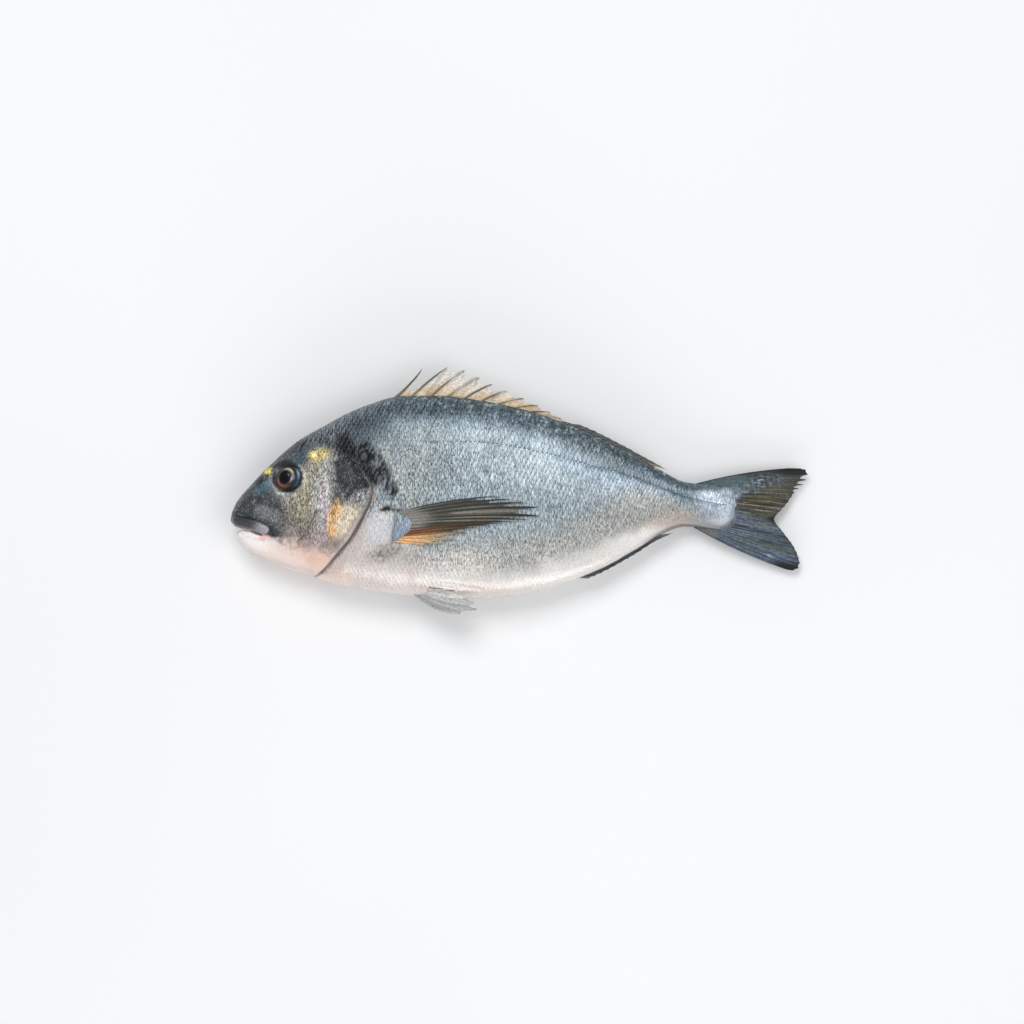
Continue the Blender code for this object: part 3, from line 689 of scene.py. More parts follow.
def head_tone(tone, x, y, share):
    """The dark brow, the black blotch, gold and orange on the cheek and the pink jaw."""
    behind = x - gill_edge(share)
    wander = 2.0 * (smooth_noise(x, y, 2.2, 21) - 0.5)
    spots = smooth_noise(x, y, 0.7, 22)
    flecks = smooth_noise(1.4 * x + 0.3 * y, 0.45 * y, 0.34, 26)
    head = fall(behind, -0.3, 0.4)
    head = head * (1 - ramp(x, 17.5, 21.0) * ramp(y, 4.0, 8.0))
    cheek_tone = blend(plain(x, (166, 161, 152)), (152, 150, 148), ramp(wander + x - 15, 0.0, 4.0))
    tone = mix(tone, cheek_tone, head * ramp(x, 5, 9))
    snout = fall(x + 0.55 * y + wander, 7.0, 10.5)
    # Painted glints: pale specks over the dark snout
    painted_glitter = ramp(smooth_noise(0.8 * x + 0.3 * y, 1.9 * y - 0.6 * x, 0.42, 29), 0.58, 0.85)
    dark_brow = ramp(y - 0.42 * x + 0.5 * wander, 0.4, 2.4) * fall(x, 13.0, 19.0)
    nape = ramp(y - 0.2 * x, 3.4, 6.2) * window(x, 11, 15, 22, 30)
    tone = layered(tone, (
        ((37, 43, 47), head * snout),
        ((128, 130, 132), 0.4 * head * snout * painted_glitter),
        ((132, 132, 136), 0.6 * head * blob(x, y, (6.6, -2.6), (2.2, 1.1), -20, 0.7)),
        ((122, 108, 100), 0.6 * head * blob(x, y, (11.2, -3.6), (2.6, 2.8), -20, 0.7)),
        ((40, 48, 52), head * dark_brow),
        ((16, 20, 24), 0.75 * stroke(x, y, ((7.9, 5.7), (9.4, 6.6), (11.3, 6.3)), 0.42)),
        ((84, 95, 103), 0.85 * nape),
    ))
    tone = blotch_tone(tone, x, y, behind, spots)
    olive = blob(x, y, (13.6, 1.4), (2.1, 5.6), -12, 0.7)
    silver = blob(x, y, (16.1, 1.6), (1.5, 5.2), -6, 0.6)
    glints = blob(x, y, (22.4, 0.4), (1.3, 0.9), 30, 0.7) * ramp(flecks, 0.45, 0.7)
    gold = blob(x, y, (15.4, 7.6), (1.7, 0.95), 14, 0.6) * (0.4 + 0.8 * smooth_noise(x, y, 0.6, 23))
    orange = blob(x, y, (18.2, -3.8), (1.25, 3.3), -10, 0.5) * (0.2 + 1.1 * smooth_noise(x, y, 0.8, 24))
    cream = blob(x, y, (20.3, -3.8), (1.9, 3.0), -25, 0.5) * (0.55 + 0.7 * smooth_noise(x, y, 0.5, 25))
    pale_rim = window(behind, -1.4, -0.9, -0.35, -0.1)
    over_jaw = bell(y - jaw_line(x) - 1.1, 1.4) * ramp(x, 8, 11) * head
    tone = layered(tone, (
        ((202, 196, 162), olive * (0.2 + 0.5 * ramp(flecks, 0.3, 0.8))),
        ((112, 98, 76), 0.5 * olive * fall(flecks, 0.15, 0.5)),
        ((214, 212, 210), 0.85 * silver * ramp(flecks, 0.2, 0.6)),
        # Pale crescent under the eye's lower rim: a painted highlight
        ((206, 216, 210), 0.75 * stroke(x, y, ((8.0, 1.15), (9.0, 0.9), (10.2, 0.85)), 0.16)),
        ((222, 226, 230), 0.9 * glints),
        ((248, 224, 134), np.clip(gold, 0, 1)),
        ((206, 160, 74), 0.6 * blob(x, y, (15.6, 7.4), (0.8, 0.35), 10, 0.7)),
        ((246, 226, 84), 0.92 * blob(x, y, (6.5, 4.8), (0.7, 0.5), 35, 0.65)),
        ((44, 92, 104), 0.75 * blob(x, y, (5.6, 1.9), (1.7, 0.85), 20, 0.6)),
        ((48, 74, 88), 0.85 * blob(x, y, (12.1, 7.0), (1.3, 1.3), 35, 0.6)),
        ((250, 198, 126), np.clip(orange, 0, 1)),
        ((246, 232, 208), np.clip(cream, 0, 1) * fall(behind, -1.1, -0.5)),
        ((206, 186, 176), 0.7 * pale_rim * fall(y, -4.6, -1.8)),
        ((172, 158, 152), 0.6 * over_jaw),
    ))
    tone = jaw_tone(tone, x, y, behind, wander)
    on_cheek = ramp(y - jaw_line(x), -0.6, 1.4)
    tone = layered(tone, (
        ((146, 112, 136), 0.7 * stroke(x, y, PREOPERCLE, 0.3) * (0.3 + 0.7 * on_cheek)),
        ((222, 214, 214), 0.5 * stroke(x + 0.65, y, PREOPERCLE, 0.28) * on_cheek),
        ((92, 74, 80), 0.65 * stroke(x, y, CHEEK_CREASE, 0.25) * (0.2 + 0.8 * on_cheek)),
        ((24, 24, 28), 0.9 * stroke(x, y + 0.05, LIP_LINE, 0.17) * ramp(x, 1, 3)),
        # Dark ring round the eyeball: painted shade in the sunken socket
        ((26, 32, 40), fall(from_eye(x, y), 2.45, 2.95)),
    ))
    for (cx, cy), half in NOSTRILS:
        pit = blob(x, y, (cx, cy), (half + 0.25, 0.34), math.degrees(NOSTRIL_SLANT), 0.4)
        tone = blend(tone, (8, 8, 12), pit)
    # The slit: the gill's dark red, deepened towards black with painted shade inside the slit
    slit = bell(behind - 0.12, 0.26) * gill_opening(share)
    red = blend(plain(x, (44, 20, 16)), (24, 22, 26), ramp(y, 1.0, 3.4))
    tone = mix(tone, red, 0.95 * slit)
    # Painted shade along the gill cover's upper edge, which holds down the lamp's highlight on its rim
    gill_edge_shade = bell(behind, 0.55) * window(y, 1.3, 2.6, 9.0, 11.0)
    return layered(tone, (
        ((34, 36, 40), 0.8 * gill_edge_shade),
        ((230, 190, 170), 0.7 * stroke(x, y, ((25.05, 1.5), (24.75, -0.8)), 0.26)),
        ((206, 160, 146), 0.5 * stroke(x, y, ((24.6, -1.2), (23.2, -3.7), (21.4, -6.7)), 0.22)),
    ))


def blotch_tone(tone, x, y, behind, spots):
    """The black mark over the gill's upper corner, on the cover in front and the shoulder behind."""
    core = stroke(x, y, ((19.6, 9.3), (22.4, 6.8), (23.9, 3.6)), 2.2)
    tail = stroke(x, y, ((23.2, 9.0), (25.4, 6.6), (26.8, 4.0), (27.9, 1.2)), 1.45)
    mark = ramp(np.maximum(core, 0.92 * tail) + 0.4 * (spots - 0.5), 0.3, 0.75)
    front = blob(x, y, (21.2, 4.6), (3.6, 3.2), -25, 0.5) * fall(behind, -0.1, 0.1)
    mottled = blob(x, y, (20.8, 0.8), (3.2, 2.7), 0, 0.7) * fall(behind, -0.4, 0.0)
    mist = blob(x, y, (20.0, 2.6), (2.4, 2.0), -30, 0.7) * ramp(smooth_noise(x, y, 0.9, 34), 0.3, 0.75)
    bright = ramp(smooth_noise(1.3 * x, y, 0.5, 27), 0.48, 0.76) * np.maximum(tail, 0.2 * core)
    return layered(tone, (
        ((42, 45, 50), 0.92 * ramp(front + 0.5 * (spots - 0.5), 0.25, 0.75)),
        ((43, 47, 53), 0.92 * mottled * ramp(spots, 0.1, 0.6)),
        ((104, 108, 112), 0.35 * mist),
        ((14, 14, 18), 0.75 * stroke(x, y, ((20.4, 8.8), (22.2, 6.0), (23.6, 3.0), (23.4, 1.2)), 0.8)
         * (0.35 + 0.65 * ramp(smooth_noise(x, y, 0.55, 35), 0.35, 0.65))),
        ((196, 196, 188), 0.5 * stroke(x, y, ((26.4, 8.8), (28.0, 5.4), (29.9, 1.0), (31.5, -1.2)), 0.8)),
        ((22, 24, 28), mark),
        ((150, 157, 164), 0.85 * bright),
    ))


def jaw_tone(tone, x, y, behind, wander):
    """The pink lower jaw and throat, which fade into the cheek in grains."""
    grain = 2.6 * (smooth_noise(x, y, 0.36, 28) - 0.5) + 0.4 * wander
    edge = fall(y - jaw_line(x) + 0.8 * grain, -2.5, 1.9)
    jaw = fall(behind, -0.25, 0.1) * edge * ramp(below_mouth(x, y), -0.2, 0.0)
    return layered(tone, (
        ((240, 221, 212), jaw),
        ((236, 188, 166), 0.7 * jaw * blob(x, y, (14.5, -9.2), (4.6, 2.6), -30, 0.7)),
        ((255, 249, 246), 0.9 * jaw * blob(x, y, (3.4, -6.9), (3.6, 1.5), -18, 0.7)),
        ((238, 176, 172), 0.6 * blob(x, y, (5.7, -6.5), (0.9, 0.6), 0, 0.6)),
        ((176, 150, 154), 0.5 * blob(x, y, (14.4, -6.9), (2.2, 1.3), -30, 0.7)),
        ((224, 208, 200), 0.5 * jaw * fall(y - belly(x), 0.2, 1.6)),
    ))


def below_mouth(x, y):
    """How far a place is below the mouth's line, and less than 0 above it."""
    line = np.interp(x, (0.0, 0.9, 2.1, 3.6, 5.7, 7.5, 12.0), (-4.6, -5.2, -5.25, -5.45, -6.3, -6.6, -6.6))
    return line - y


def speckle_share(x, y, share):
    """How strongly dark and bright flecks and the painted glints show: much on the flank, little on belly,
    chest and jaw.
    """
    above_belly = y - belly(x)
    thin = ramp(x, 66, 78)
    belly_band = ramp((above_belly - 2.6 + 1.8 * thin) / (4.4 - 2.9 * thin), 0.0, 1.0)
    chest = 1 - 0.75 * blob(x, y, (24.0, -9.0), (7.5, 7.0), -30, 0.35)
    edge = ramp(y - jaw_line(x), -1.4, 2.6)
    head = fall(x - gill_edge(share), -0.4, 0.0)
    jaw = 1 - head * (1 - edge) * 0.85
    strong = 1 + 0.35 * blob(x, y, (36.0, 3.0), (9.0, 7.0), 0, 0.6) + 0.4 * head
    strong = strong + 0.5 * fall(back(x) - y, 1.0, 4.0) * fall(x, 62, 72) - 0.3 * thin
    return np.clip(np.maximum(belly_band, head * edge) * chest * jaw * strong, 0.08, 1.5)


# Materials

def new_material(name):
    material = bpy.data.materials.new(name)
    material.use_nodes = True
    tree = material.node_tree
    return material, tree, tree.nodes["Principled BSDF"]


def add_node(tree, kind, inputs=(), **settings):
    """A node with its settings, whose inputs are values or other nodes' outputs."""
    node = tree.nodes.new(kind)
    for key, value in settings.items():
        setattr(node, key, value)
    for key, value in dict(inputs).items():
        if isinstance(value, bpy.types.NodeSocket):
            tree.links.new(value, node.inputs[key])
        else:
            node.inputs[key].default_value = value
    return node


def noise(tree, scale, detail=2.0, stretch=(1, 1, 1), roughness=0.5, shift=0.0):
    """Noise over the object, with this many grains to the metre."""
    place = add_node(tree, "ShaderNodeTexCoord").outputs["Object"]
    inputs = {"Vector": place, "Scale": stretch, "Location": (shift, shift, 0.0)}
    fitted = add_node(tree, "ShaderNodeMapping", inputs)
    settings = {"Vector": fitted.outputs[0], "Scale": scale, "Detail": detail, "Roughness": roughness}
    return add_node(tree, "ShaderNodeTexNoise", settings).outputs["Fac"]


def attribute(tree, name, output="Color"):
    return add_node(tree, "ShaderNodeAttribute", attribute_name=name).outputs[output]


def sums(tree, operation, first, second, third=0.0):
    inputs = {0: first, 1: second, 2: third}
    return add_node(tree, "ShaderNodeMath", inputs, operation=operation).outputs[0]


def remap(tree, value, low, high, to_low, to_high):
    inputs = {"Value": value, "From Min": low, "From Max": high, "To Min": to_low, "To Max": to_high}
    return add_node(tree, "ShaderNodeMapRange", inputs, interpolation_type="SMOOTHSTEP").outputs[0]


def mixed(tree, share, first, second, blend_type="MIX"):
    inputs = {0: share, 6: first, 7: second}
    return add_node(tree, "ShaderNodeMix", inputs, data_type="RGBA", blend_type=blend_type).outputs[2]


def grey(tree, value):
    return add_node(tree, "ShaderNodeCombineColor", {0: value, 1: value, 2: value}).outputs[0]


def brightened(tree, colour, factor):
    """A colour times a number from a node."""
    return mixed(tree, 1.0, colour, grey(tree, factor), "MULTIPLY")


def with_painted_glints(tree, colour, seed_shift, amount):
    """A colour with fine pale specks of painted highlight, like glints off wet skin, which show most where
    it is dark.
    """
    specks = noise(tree, 1750, 2.0, (1.25, 0.6, 1.0), 0.6, seed_shift)
    patches = remap(tree, noise(tree, 260, 2.0, shift=seed_shift), 0.4, 0.62, 0.15, 1.0)
    shown = remap(tree, specks, 0.5, 0.74, 0.0, amount)
    share = sums(tree, "MULTIPLY", shown, attribute(tree, "speckle", "Fac"))
    return mixed(tree, sums(tree, "MULTIPLY", share, patches), colour, (*ink(200, 206, 210), 1.0))


def bumped(tree, shader, height, depth):
    bump = add_node(tree, "ShaderNodeBump", {"Height": height, "Distance": depth, "Strength": 1.0})
    tree.links.new(bump.outputs[0], shader.inputs["Normal"])


def set_sockets(shader, **values):
    for name, value in values.items():
        shader.inputs[name.replace("_", " ")].default_value = value


def skin_material():
    """Bare skin: pigment in fine flecks, with painted glints, under a thin wet film."""
    material, tree, shader = new_material("wet_skin")
    flecks = noise(tree, 1500, 3.0, (1.3, 0.5, 1.0), 0.7)
    patches = noise(tree, 420, 2.0)
    fleck = remap(tree, flecks, 0.36, 0.64, -0.5, 0.55)
    patch = remap(tree, patches, 0.35, 0.65, -0.22, 0.22)
    strength = attribute(tree, "speckle", "Fac")
    factor = sums(tree, "MULTIPLY_ADD", sums(tree, "ADD", fleck, patch), strength, 1.0)
    # Painted glints over the skin's colour
    colour = with_painted_glints(tree, brightened(tree, attribute(tree, "tone"), factor), 0.7, 0.42)
    tree.links.new(colour, shader.inputs["Base Color"])
    tree.links.new(remap(tree, patches, 0.3, 0.7, 0.34, 0.54), shader.inputs["Roughness"])
    bumped(tree, shader, flecks, 0.00012)
    set_sockets(shader, Coat_Weight=0.4, Coat_Roughness=0.2, Coat_IOR=1.35)
    return material


def scale_material():
    """Silver scales: each its own tone, darker under the one before it with painted shade and some dark
    pigment, with a thin dark rim and painted glints.
    """
    material, tree, shader = new_material("silver_scales")
    place = add_node(tree, "ShaderNodeSeparateXYZ", {0: attribute(tree, "plate", "Vector")})
    along, chance = place.outputs[0], place.outputs[2]
    # Painted shade where a scale lies under the one before it, with some dark pigment there
    shade = remap(tree, along, 0.3, 0.66, -0.34, 0.14)
    rim = remap(tree, along, 0.84, 1.0, 0.0, -0.36)
    flecks = noise(tree, 1300, 3.0, (1.7, 0.42, 1.0), 0.7)
    fleck = remap(tree, flecks, 0.36, 0.64, -0.56, 0.6)
    own = remap(tree, chance, 0.0, 1.0, -0.12, 0.12)
    total = sums(tree, "ADD", sums(tree, "ADD", shade, rim), sums(tree, "ADD", fleck, own))
    factor = sums(tree, "MULTIPLY_ADD", total, attribute(tree, "speckle", "Fac"), 0.98)
    # Painted glints over the scales' colour
    colour = with_painted_glints(tree, brightened(tree, attribute(tree, "tone"), factor), 1.9, 0.5)
    tree.links.new(colour, shader.inputs["Base Color"])
    tree.links.new(remap(tree, flecks, 0.3, 0.7, 0.24, 0.44), shader.inputs["Roughness"])
    bumped(tree, shader, noise(tree, 2600, 2.0), 0.00006)
    set_sockets(shader, Metallic=0.3, Coat_Weight=0.4, Coat_Roughness=0.14, Coat_IOR=1.35)
    return material


def toned_material(name, grains, contrast, matt, depth, **gloss):
    """A material in the painted tone, uneven by its contrast, and as rough as the range matt says."""
    material, tree, shader = new_material(name)
    flecks = noise(tree, *grains)
    factor = remap(tree, flecks, 0.3, 0.7, 1 - contrast, 1 + contrast)
    tree.links.new(brightened(tree, attribute(tree, "tone"), factor), shader.inputs["Base Color"])
    tree.links.new(remap(tree, flecks, 0.3, 0.7, *matt), shader.inputs["Roughness"])
    if depth:
        bumped(tree, shader, flecks, depth)
    set_sockets(shader, **gloss)
    return material


def fin_material():
    """Thin horny fin skin: rays and membrane are painted in, with fine streaks along them."""
    material = toned_material(
        "fin_skin", (1300, 3.0, (0.5, 1.2, 1.0), 0.65), 0.28, (0.3, 0.5), 0.00008,
        Specular_IOR_Level=0.3, Coat_Weight=0.12, Coat_Roughness=0.2, Coat_IOR=1.35)
    tree = material.node_tree
    tree.links.new(attribute(tree, "cover", "Fac"), tree.nodes["Principled BSDF"].inputs["Alpha"])
    return material


def lip_material():
    """Soft wet skin, for the lips, the gills' membranes and the tubes of the lateral line."""
    return toned_material("lip_skin", (900, 3.0), 0.12, (0.24, 0.36), 0.00015,
                          Coat_Weight=0.7, Coat_Roughness=0.08, Coat_IOR=1.35)


def eye_material():
    """Painted iris and black pupil under a clear wet cornea."""
    return toned_material("eye", (2200, 2.0), 0.15, (0.25, 0.35), 0.0,
                          Specular_IOR_Level=0.1, Coat_Weight=0.5, Coat_Roughness=0.04, Coat_IOR=1.36)


def floor_material():
    material, tree, shader = new_material("pale_floor")
    shade = remap(tree, noise(tree, 3.0, 1.0), 0.3, 0.7, 0.96, 0.98)
    tree.links.new(grey(tree, shade), shader.inputs["Base Color"])
    set_sockets(shader, Roughness=0.85)
    return material


# Skin

def skin_stations():
    """Stations from snout to tail root: fine on the head, finest at the gill's edge."""
    near_gill = np.array((0.03, 0.06, 0.09, 0.13, 0.18, 0.25, 0.34, 0.46, 0.62, 0.82))
    return np.concatenate([
        (0.0, 0.06, 0.16, 0.3, 0.46),
        np.linspace(0.62, 19.95, 116),
        GILL_STATION - near_gill[::-1],
        (GILL_STATION,),
        GILL_STATION + near_gill,
        np.linspace(22.1, 33.0, 38),
        np.linspace(33.6, 84.0, 88),
        (84.5, 85.0, 85.4, 85.8, 86.2, 86.5, 86.75, 86.9, BODY_END),
    ])


def mouth_cutter():
    """A block with the outline of the open mouth, which reaches through the whole head."""
    reach = 9.0
    count = len(MOUTH_SLIT)
    points = np.concatenate([np.c_[np.array(MOUTH_SLIT), np.full(count, z)] for z in (-reach, reach)])
    faces = [list(range(count)), list(reversed(range(count, 2 * count)))]
    faces += [[i, (i + 1) % count, (i + 1) % count + count, i + count] for i in range(count)]
    return add_object("mouth_cutter", closed_mesh("mouth_cutter", settle(points), faces, triangulate=True))


def cut_mouth(skin):
    cutter = mouth_cutter()
    step = skin.modifiers.new("mouth", "BOOLEAN")
    step.operation = "DIFFERENCE"
    step.object = cutter
    bpy.context.view_layer.objects.active = skin
    bpy.ops.object.modifier_apply(modifier=step.name)
    bpy.data.objects.remove(cutter)


def fish_skin():
    """The whole skin, lofted round the body, with the mouth cut into it."""
    turn = np.linspace(-math.pi, math.pi, SKIN_COLUMNS + 1)[None, :-1]
    station = skin_stations()[:, None]
    share = turn_share(turn)
    x = station_x(station, share)
    points = skin_point(x, np.broadcast_to(turn, x.shape))
    points[..., 0] += gill_opening(share) * gill_tuck(x - gill_edge(share))
    skin = make_piece("fish_skin", points, loft_faces(*points.shape[:2]), skin_material(), 50)
    cut_mouth(skin)
    paint_skin(skin)
    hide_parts("sea_bream")


def paint_skin(skin):
    places = np.empty(len(skin.data.vertices) * 3, np.float32)
    skin.data.vertices.foreach_get("co", places)
    x, y = ((places.reshape(-1, 3) - ORIGIN) / PERCENT).T[:2]
    share = share_of_height(x, y)
    tone = skin_tone(x, y, share)
    mouth = bell(line_distance(x, y, MOUTH_SLIT), 0.05)
    tone = blend(tone, (104, 66, 64), mouth)
    set_colours(skin.data, "tone", tone)
    set_numbers(skin.data, "speckle", speckle_share(x, y, share) * (1 - 0.9 * mouth))


# Scales

def scale_columns(start, end, step, tail_size):
    """Places of the columns along the body, closer towards the tail."""
    places = [start]
    while places[-1] < end:
        size = 1 - (1 - tail_size) * ramp(places[-1], 50, 84)
        places.append(places[-1] + step * size)
    return np.array(places)


def scale_sites(columns, pitch, tail_size, keep, margin):
    """Where scales sit on one flank: place along, turn, size, length of a turn, and relief.

    Margin is how near to the middle lines of belly and back they come. Below 0 they cross them.
    """
    turns = np.linspace(-0.3, math.pi + 0.3, 280)
    upward = (turns > 0) & (turns < math.pi)
    sites = []
    for number, x in enumerate(columns):
        size = 1 - (1 - tail_size) * ramp(x, 50, 84)
        ring = body_point(x, turns)
        arc = np.r_[0, np.cumsum(np.linalg.norm(np.diff(ring, axis=0), axis=1))]
        arc = arc - np.interp(0.0, turns, arc)
        height = np.interp(math.pi, turns, arc)
        middle = np.interp(lateral_line(x), ring[upward, 1], arc[upward])
        gap = pitch * size
        first = math.ceil(-middle / gap) - 1
        spots = middle + gap * (np.arange(first, first + 90) + 0.5 * (number % 2))
        spots = spots[(spots > margin * gap) & (spots < height - margin * gap)]
        turn = np.interp(spots, arc, turns)
        rate = np.interp(turn, turns, np.gradient(arc, turns))
        edge = ramp(np.minimum(spots, height - spots), 0.4, 3.2)
        sites.append(np.stack([np.full(len(spots), x), turn, np.full(len(spots), size), rate, edge], axis=1))
    sites = np.concatenate(sites)
    share = turn_share(sites[:, 1])
    y = belly(sites[:, 0]) + share * (back(sites[:, 0]) - belly(sites[:, 0]))
    sites[:, 4] *= 0.35 + 0.65 * np.minimum(speckle_share(sites[:, 0], y, share), 1)
    return sites[keep(sites[:, 0], y, share) > 0.5]


def scale_plates(name, sites, surface, step, pitch, raise_by, bed, seed, material):
    """One closed plate for each scale: a curved top with a round free edge, and a point in the skin.

    Surface gives points of the fish from places along, places up the flank and distances out.
    """
    chance = np.random.default_rng(seed).random((len(sites), 8))
    jitter = (2 * chance - 1)[:, :, None, None]
    across = np.linspace(-1, 1, 7)
    ahead = np.array((0.0, 0.62, 1.0))
    free_edge = 0.42 + 0.58 * np.sqrt(1 - 0.96 * across**2)
    along = ahead[:, None] * free_edge[None, :]
    size = sites[:, 2, None, None] * (1 + 0.05 * jitter[:, 0])
    local_x = (along - 0.62) * 2.7 * step * size
    local_s = across * 0.61 * pitch * size
    lean = 0.1 * jitter[:, 1]
    x = sites[:, 0, None, None] + local_x - lean * local_s + 0.12 * step * jitter[:, 2]
    up = sites[:, 1, None, None] + (local_s + lean * local_x) / sites[:, 3, None, None]
    tilt = along * (1 + 0.15 * jitter[:, 3]) - 0.9
    height = raise_by * (1 + 2.3 * tilt + 0.35 * (1 - across**2) + 0.22 * jitter[:, 4] * across)
    points = surface(x, up, bed + (height - bed) * (0.15 + 0.85 * sites[:, 4, None, None]))
    apex = surface(sites[:, 0], sites[:, 1], np.full(len(sites), -0.15))
    build_plates(name, points, apex, along, across, chance, material)


def build_plates(name, points, apex, along, across, chance, material):
    """The plates as one piece, each with its own hue and with its place and chance for the material."""
    count, rows, columns = points.shape[:3]
    size = rows * columns + 1
    everything = np.concatenate([points.reshape(count, size - 1, 3), apex[:, None]], axis=1)
    rim = border(np.arange(size - 1).reshape(rows, columns))
    fan = np.array([(a, b, size - 1) for a, b in zip(rim, rim[1:] + rim[:1])])
    first = np.arange(count)[:, None, None] * size
    top = np.array(grid_faces(rows, columns))
    faces = (top[None] + first).reshape(-1, 4).tolist() + (fan[None] + first).reshape(-1, 3).tolist()
    x, y = everything[..., 0].ravel(), everything[..., 1].ravel()
    share = share_of_height(x, y)
    hue = 1 + np.array((0.02, 0.0, -0.025)) * (2 * chance[:, 5, None] - 1)
    dark_back = fall(back(points[:, 1, 3, 0]) - points[:, 1, 3, 1], 1.5, 4.5)
    hue = hue * (1 + (0.7 * dark_back * (chance[:, 7] - 0.4))[:, None])
    tone = skin_tone(x, y, share) * np.repeat(hue, size, axis=0)
    plate = np.zeros((count, size, 3), np.float32)
    plate[:, :-1, 0] = along.ravel()
    plate[:, :-1, 1] = np.broadcast_to(across, along.shape).ravel()
    plate[..., 2] = chance[:, 6, None]
    piece = make_piece(name, everything, faces, material, 35, tone, speckle=speckle_share(x, y, share))
    layer = piece.data.attributes.new("plate", "FLOAT_VECTOR", "POINT")
    layer.data.foreach_set("vector", plate.ravel())


def tail_sites(step, pitch):
    """Places of the small scales that run out over the root of the tail fin."""
    sites = []
    for number, x in enumerate(np.arange(84.6, 90.8, step)):
        spots = np.arange(-6.0, 5.0, pitch) + 0.5 * pitch * (number % 2)
        upper = 1.3 + 0.24 * (x - 83.8)
        lower = -4.5 - 0.5 * (x - 83.8)
        spots = spots[(spots < upper) & (spots > lower) & (x < tail_flesh(spots))]
        fading = 1 - 0.7 * ramp(x, 86, 90)
        sites.append(np.stack([np.full(len(spots), x), spots, np.ones(len(spots)),
                               np.ones(len(spots)), np.full(len(spots), fading)], axis=1))
    return np.concatenate(sites)


def side_scales(side, word, material):
    """All scales of one side: trunk, cheek and tail root. The left side's cross the middle lines."""
    trunk = scale_columns(11.5, 85.4, COLUMN_STEP, TAIL_SCALE_SIZE)
    trunk_places = scale_sites(trunk, SCALE_PITCH, TAIL_SCALE_SIZE, scaled, -0.25 * side)
    cheek_places = scale_sites(np.arange(9.0, 25.0, CHEEK_STEP), CHEEK_PITCH, 1.0, cheek, 0.3)
    tail_places = tail_sites(TAIL_ROOT_STEP, TAIL_ROOT_PITCH)

    def on_skin(x, turn, out):
        return skin_point(x, side * turn, out)

    def behind_gill(x, turn, out):
        share = turn_share(turn)
        edge = np.where(gill_opening(share) > 0.35, gill_edge(share) + 0.34, 0.0)
        return skin_point(np.maximum(x, edge), side * turn, out)

    def on_tail(x, y, out):
        half = np.maximum(flank(x, y), 0.15)
        return np.stack([x, y, side * (half + out)], axis=-1)

    scale_plates(f"scales_{word}", trunk_places, behind_gill, COLUMN_STEP, SCALE_PITCH,
                 SCALE_RAISE + SCALE_BED, SCALE_BED, 31, material)
    scale_plates(f"cheek_scales_{word}", cheek_places, on_skin, CHEEK_STEP, CHEEK_PITCH,
                 CHEEK_RAISE + 0.5 * SCALE_BED, 0.5 * SCALE_BED, 32, material)
    scale_plates(f"tail_scales_{word}", tail_places, on_tail, TAIL_ROOT_STEP, TAIL_ROOT_PITCH,
                 TAIL_ROOT_RAISE, 0.0, 33, material)


# Fins

def bowed_rays(bases, tips, bow, rows):
    """Rays from bases to tips in the plane of the flank, each bowed sideways by its own bow."""
    t = np.linspace(0, 1, rows)[None, :, None]
    bases, tips = np.array(bases, float)[:, None], np.array(tips, float)[:, None]
    run = tips - bases
    sideways = np.stack([-run[..., 1], run[..., 0]], axis=-1)
    sideways /= np.linalg.norm(sideways, axis=-1, keepdims=True)
    return bases + run * t + sideways * np.array(bow, float).reshape(-1, 1, 1) * 4 * t * (1 - t)


def fin_sheet(rays, heights, notch, paint, ray_half, skin_half, per_gap, ragged, seed, split=0.0):
    """A fin as a closed sheet with a ridge on each ray. Rays fork where split is above 0.

    Heights gives the two faces from the flat places and the half thickness, which runs from a ray's to
    the membrane's. Notch is how far short of the rays each gap's membrane ends, and per gap says how
    many strips it has. Paint gives colour and cover from the place in the fin.
    """
    count, rows = rays.shape[:2]
    fan = np.linspace(0, count - 1, (count - 1) * per_gap + 1)
    gap = np.minimum(fan.astype(int), count - 2)
    part = fan - gap
    notch = np.broadcast_to(notch, count - 1)[gap]
    chance = np.random.default_rng(seed).random(len(fan))
    dip = ramp(np.minimum(part, 1 - part), 0.0, 0.3)
    reach = 1 - notch * dip * (0.7 + 0.5 * part) - ragged * chance * (0.4 + dip)
    along = np.linspace(0, 1, rows)[None, :] * reach[:, None]
    place = along * (rows - 1)
    low = np.minimum(place.astype(int), rows - 2)
    rest = (place - low)[..., None]
    near, far = rays[gap], rays[gap + 1]
    rank = np.arange(len(fan))[:, None]
    lines = near * (1 - part[:, None, None]) + far * part[:, None, None]
    flat = lines[rank, low] * (1 - rest) + lines[rank, low + 1] * rest
    fork = split * ramp(along, 0.3, 1.0)
    offset = np.abs(np.minimum(part, 1 - part)[:, None] - fork)
    ridge = bell(offset, 0.15)
    half = (skin_half + (ray_half - skin_half) * ridge) * (1 - 0.6 * along)
    share = fan[:, None] / (count - 1)
    front_z, rear_z = heights(flat, half, along, share)
    points = [np.concatenate([flat, z[..., None]], axis=-1).reshape(-1, 3) for z in (front_z, rear_z)]
    size = len(fan) * rows
    faces = grid_faces(len(fan), rows) + grid_faces(len(fan), rows, first=size)
    rim = border(np.arange(size).reshape(len(fan), rows).T)
    faces += [[a, b, b + size, a + size] for a, b in zip(rim, rim[1:] + rim[:1])]
    tone, cover = paint(share, along, ridge, flat)
    tone = np.broadcast_to(tone, flat.shape[:2] + (3,)).reshape(-1, 3)
    cover = np.broadcast_to(cover, flat.shape[:2]).ravel()
    return np.concatenate(points), faces, np.tile(tone, (2, 1)), np.tile(cover, 2)


def streaks(fan, along, across, length, seed):
    """Random stripes that follow a fin's rays."""
    return smooth_noise(fan * across + 0 * along, along * length + 0 * fan, 1.0, seed)


